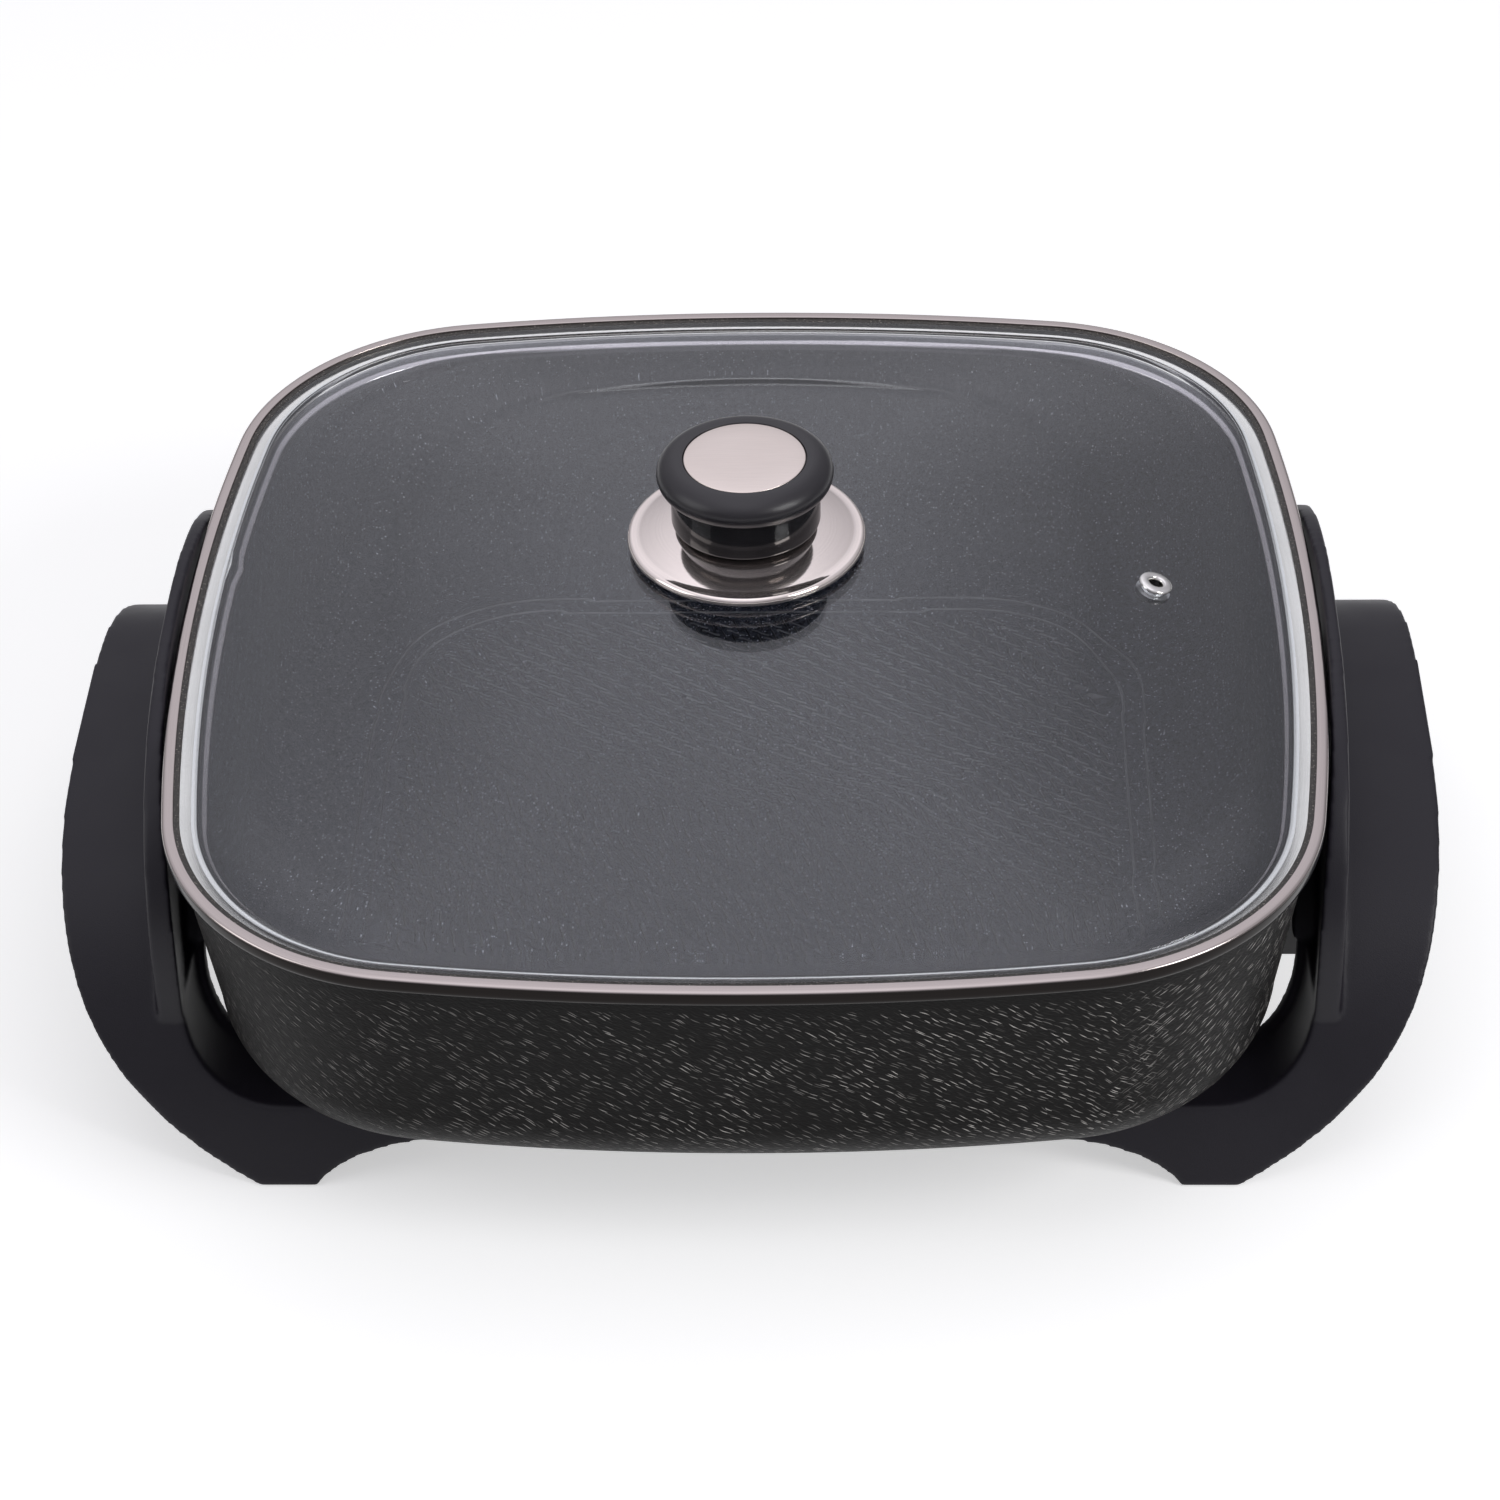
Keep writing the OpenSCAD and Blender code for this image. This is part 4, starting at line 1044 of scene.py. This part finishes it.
floorPath = addNode(floorPaint, "ShaderNodeLightPath").outputs
seen = math2(floorPaint, "MAXIMUM", floorPath["Is Camera Ray"], mirroredRay(floorPaint, floorPath))
plug(floorPaint, times(floorPaint, seen, floorShape["glow"]), "Emission Strength")
floor.data.materials.append(floorPaint)

# world: white to the camera; what metal and glass mirror is bright behind and above, dimmer in front
studioShape = {"front": (-0.8, -0.2, 0.6, 0.96), "tint": (0.935, 0.925, 1.0), "soft": 0.34,
               "ramps": (("Z", 0, 1, 0.33, 1.46), ("X", -0.45, -0.2, 0.8, 1.03), ("X", 0.06, 0.42, 1, 0.58))}
studio = bpy.data.worlds.new("studio")
scene.world = studio
studio.use_nodes = True
skyPath = addNode(studio, "ShaderNodeLightPath").outputs
skyWay = axes(studio, addNode(studio, "ShaderNodeTexCoord").outputs["Generated"])
backdrop = span(studio, skyWay["Y"], *studioShape["front"], True)
for way, *ramp in studioShape["ramps"]:
    backdrop = times(studio, backdrop, span(studio, skyWay[way], *ramp))
direct = skyPath["Is Camera Ray"]
mirrored = mirroredRay(studio, skyPath)
glow = math2(studio, "ADD", direct, times(studio, mirrored, backdrop))
unseen = math2(studio, "SUBTRACT", 1.0, math2(studio, "MAXIMUM", direct, mirrored))
soft = times(studio, unseen, studioShape["soft"])
plug(studio, blend(studio, direct, studioShape["tint"], (1, 1, 1)), "Color", "Background")
plug(studio, math2(studio, "ADD", glow, soft), "Strength", "Background")

lampAim = Vector((0, 0, 0.07))
lamps = {
    "overhead": {"place": (0, -0.1, 1.35), "size": 1.2, "glow": 0.8, "mirrored": False},
    "frontLeft": {"place": (-1.35, -0.45, 0.85), "size": 0.95, "glow": 1.3, "mirrored": True},
    "frontRight": {"place": (1.1, -0.7, 1.02), "size": 0.6, "glow": 6.9, "mirrored": True}}
for name, lamp in lamps.items():
    turn = (lampAim - Vector(lamp["place"])).to_track_quat("-Z", "Y").to_euler()
    bpy.ops.object.light_add(type="AREA", location=lamp["place"], rotation=turn)
    light = bpy.context.object
    light.name = name
    light.data.shape = "SQUARE"
    light.data.size = lamp["size"]
    light.data.energy = lamp["glow"] * lamp["size"] ** 2 * math.pi
    light.visible_camera = False
    light.visible_glossy = light.visible_transmission = lamp["mirrored"]
print("stage lit")
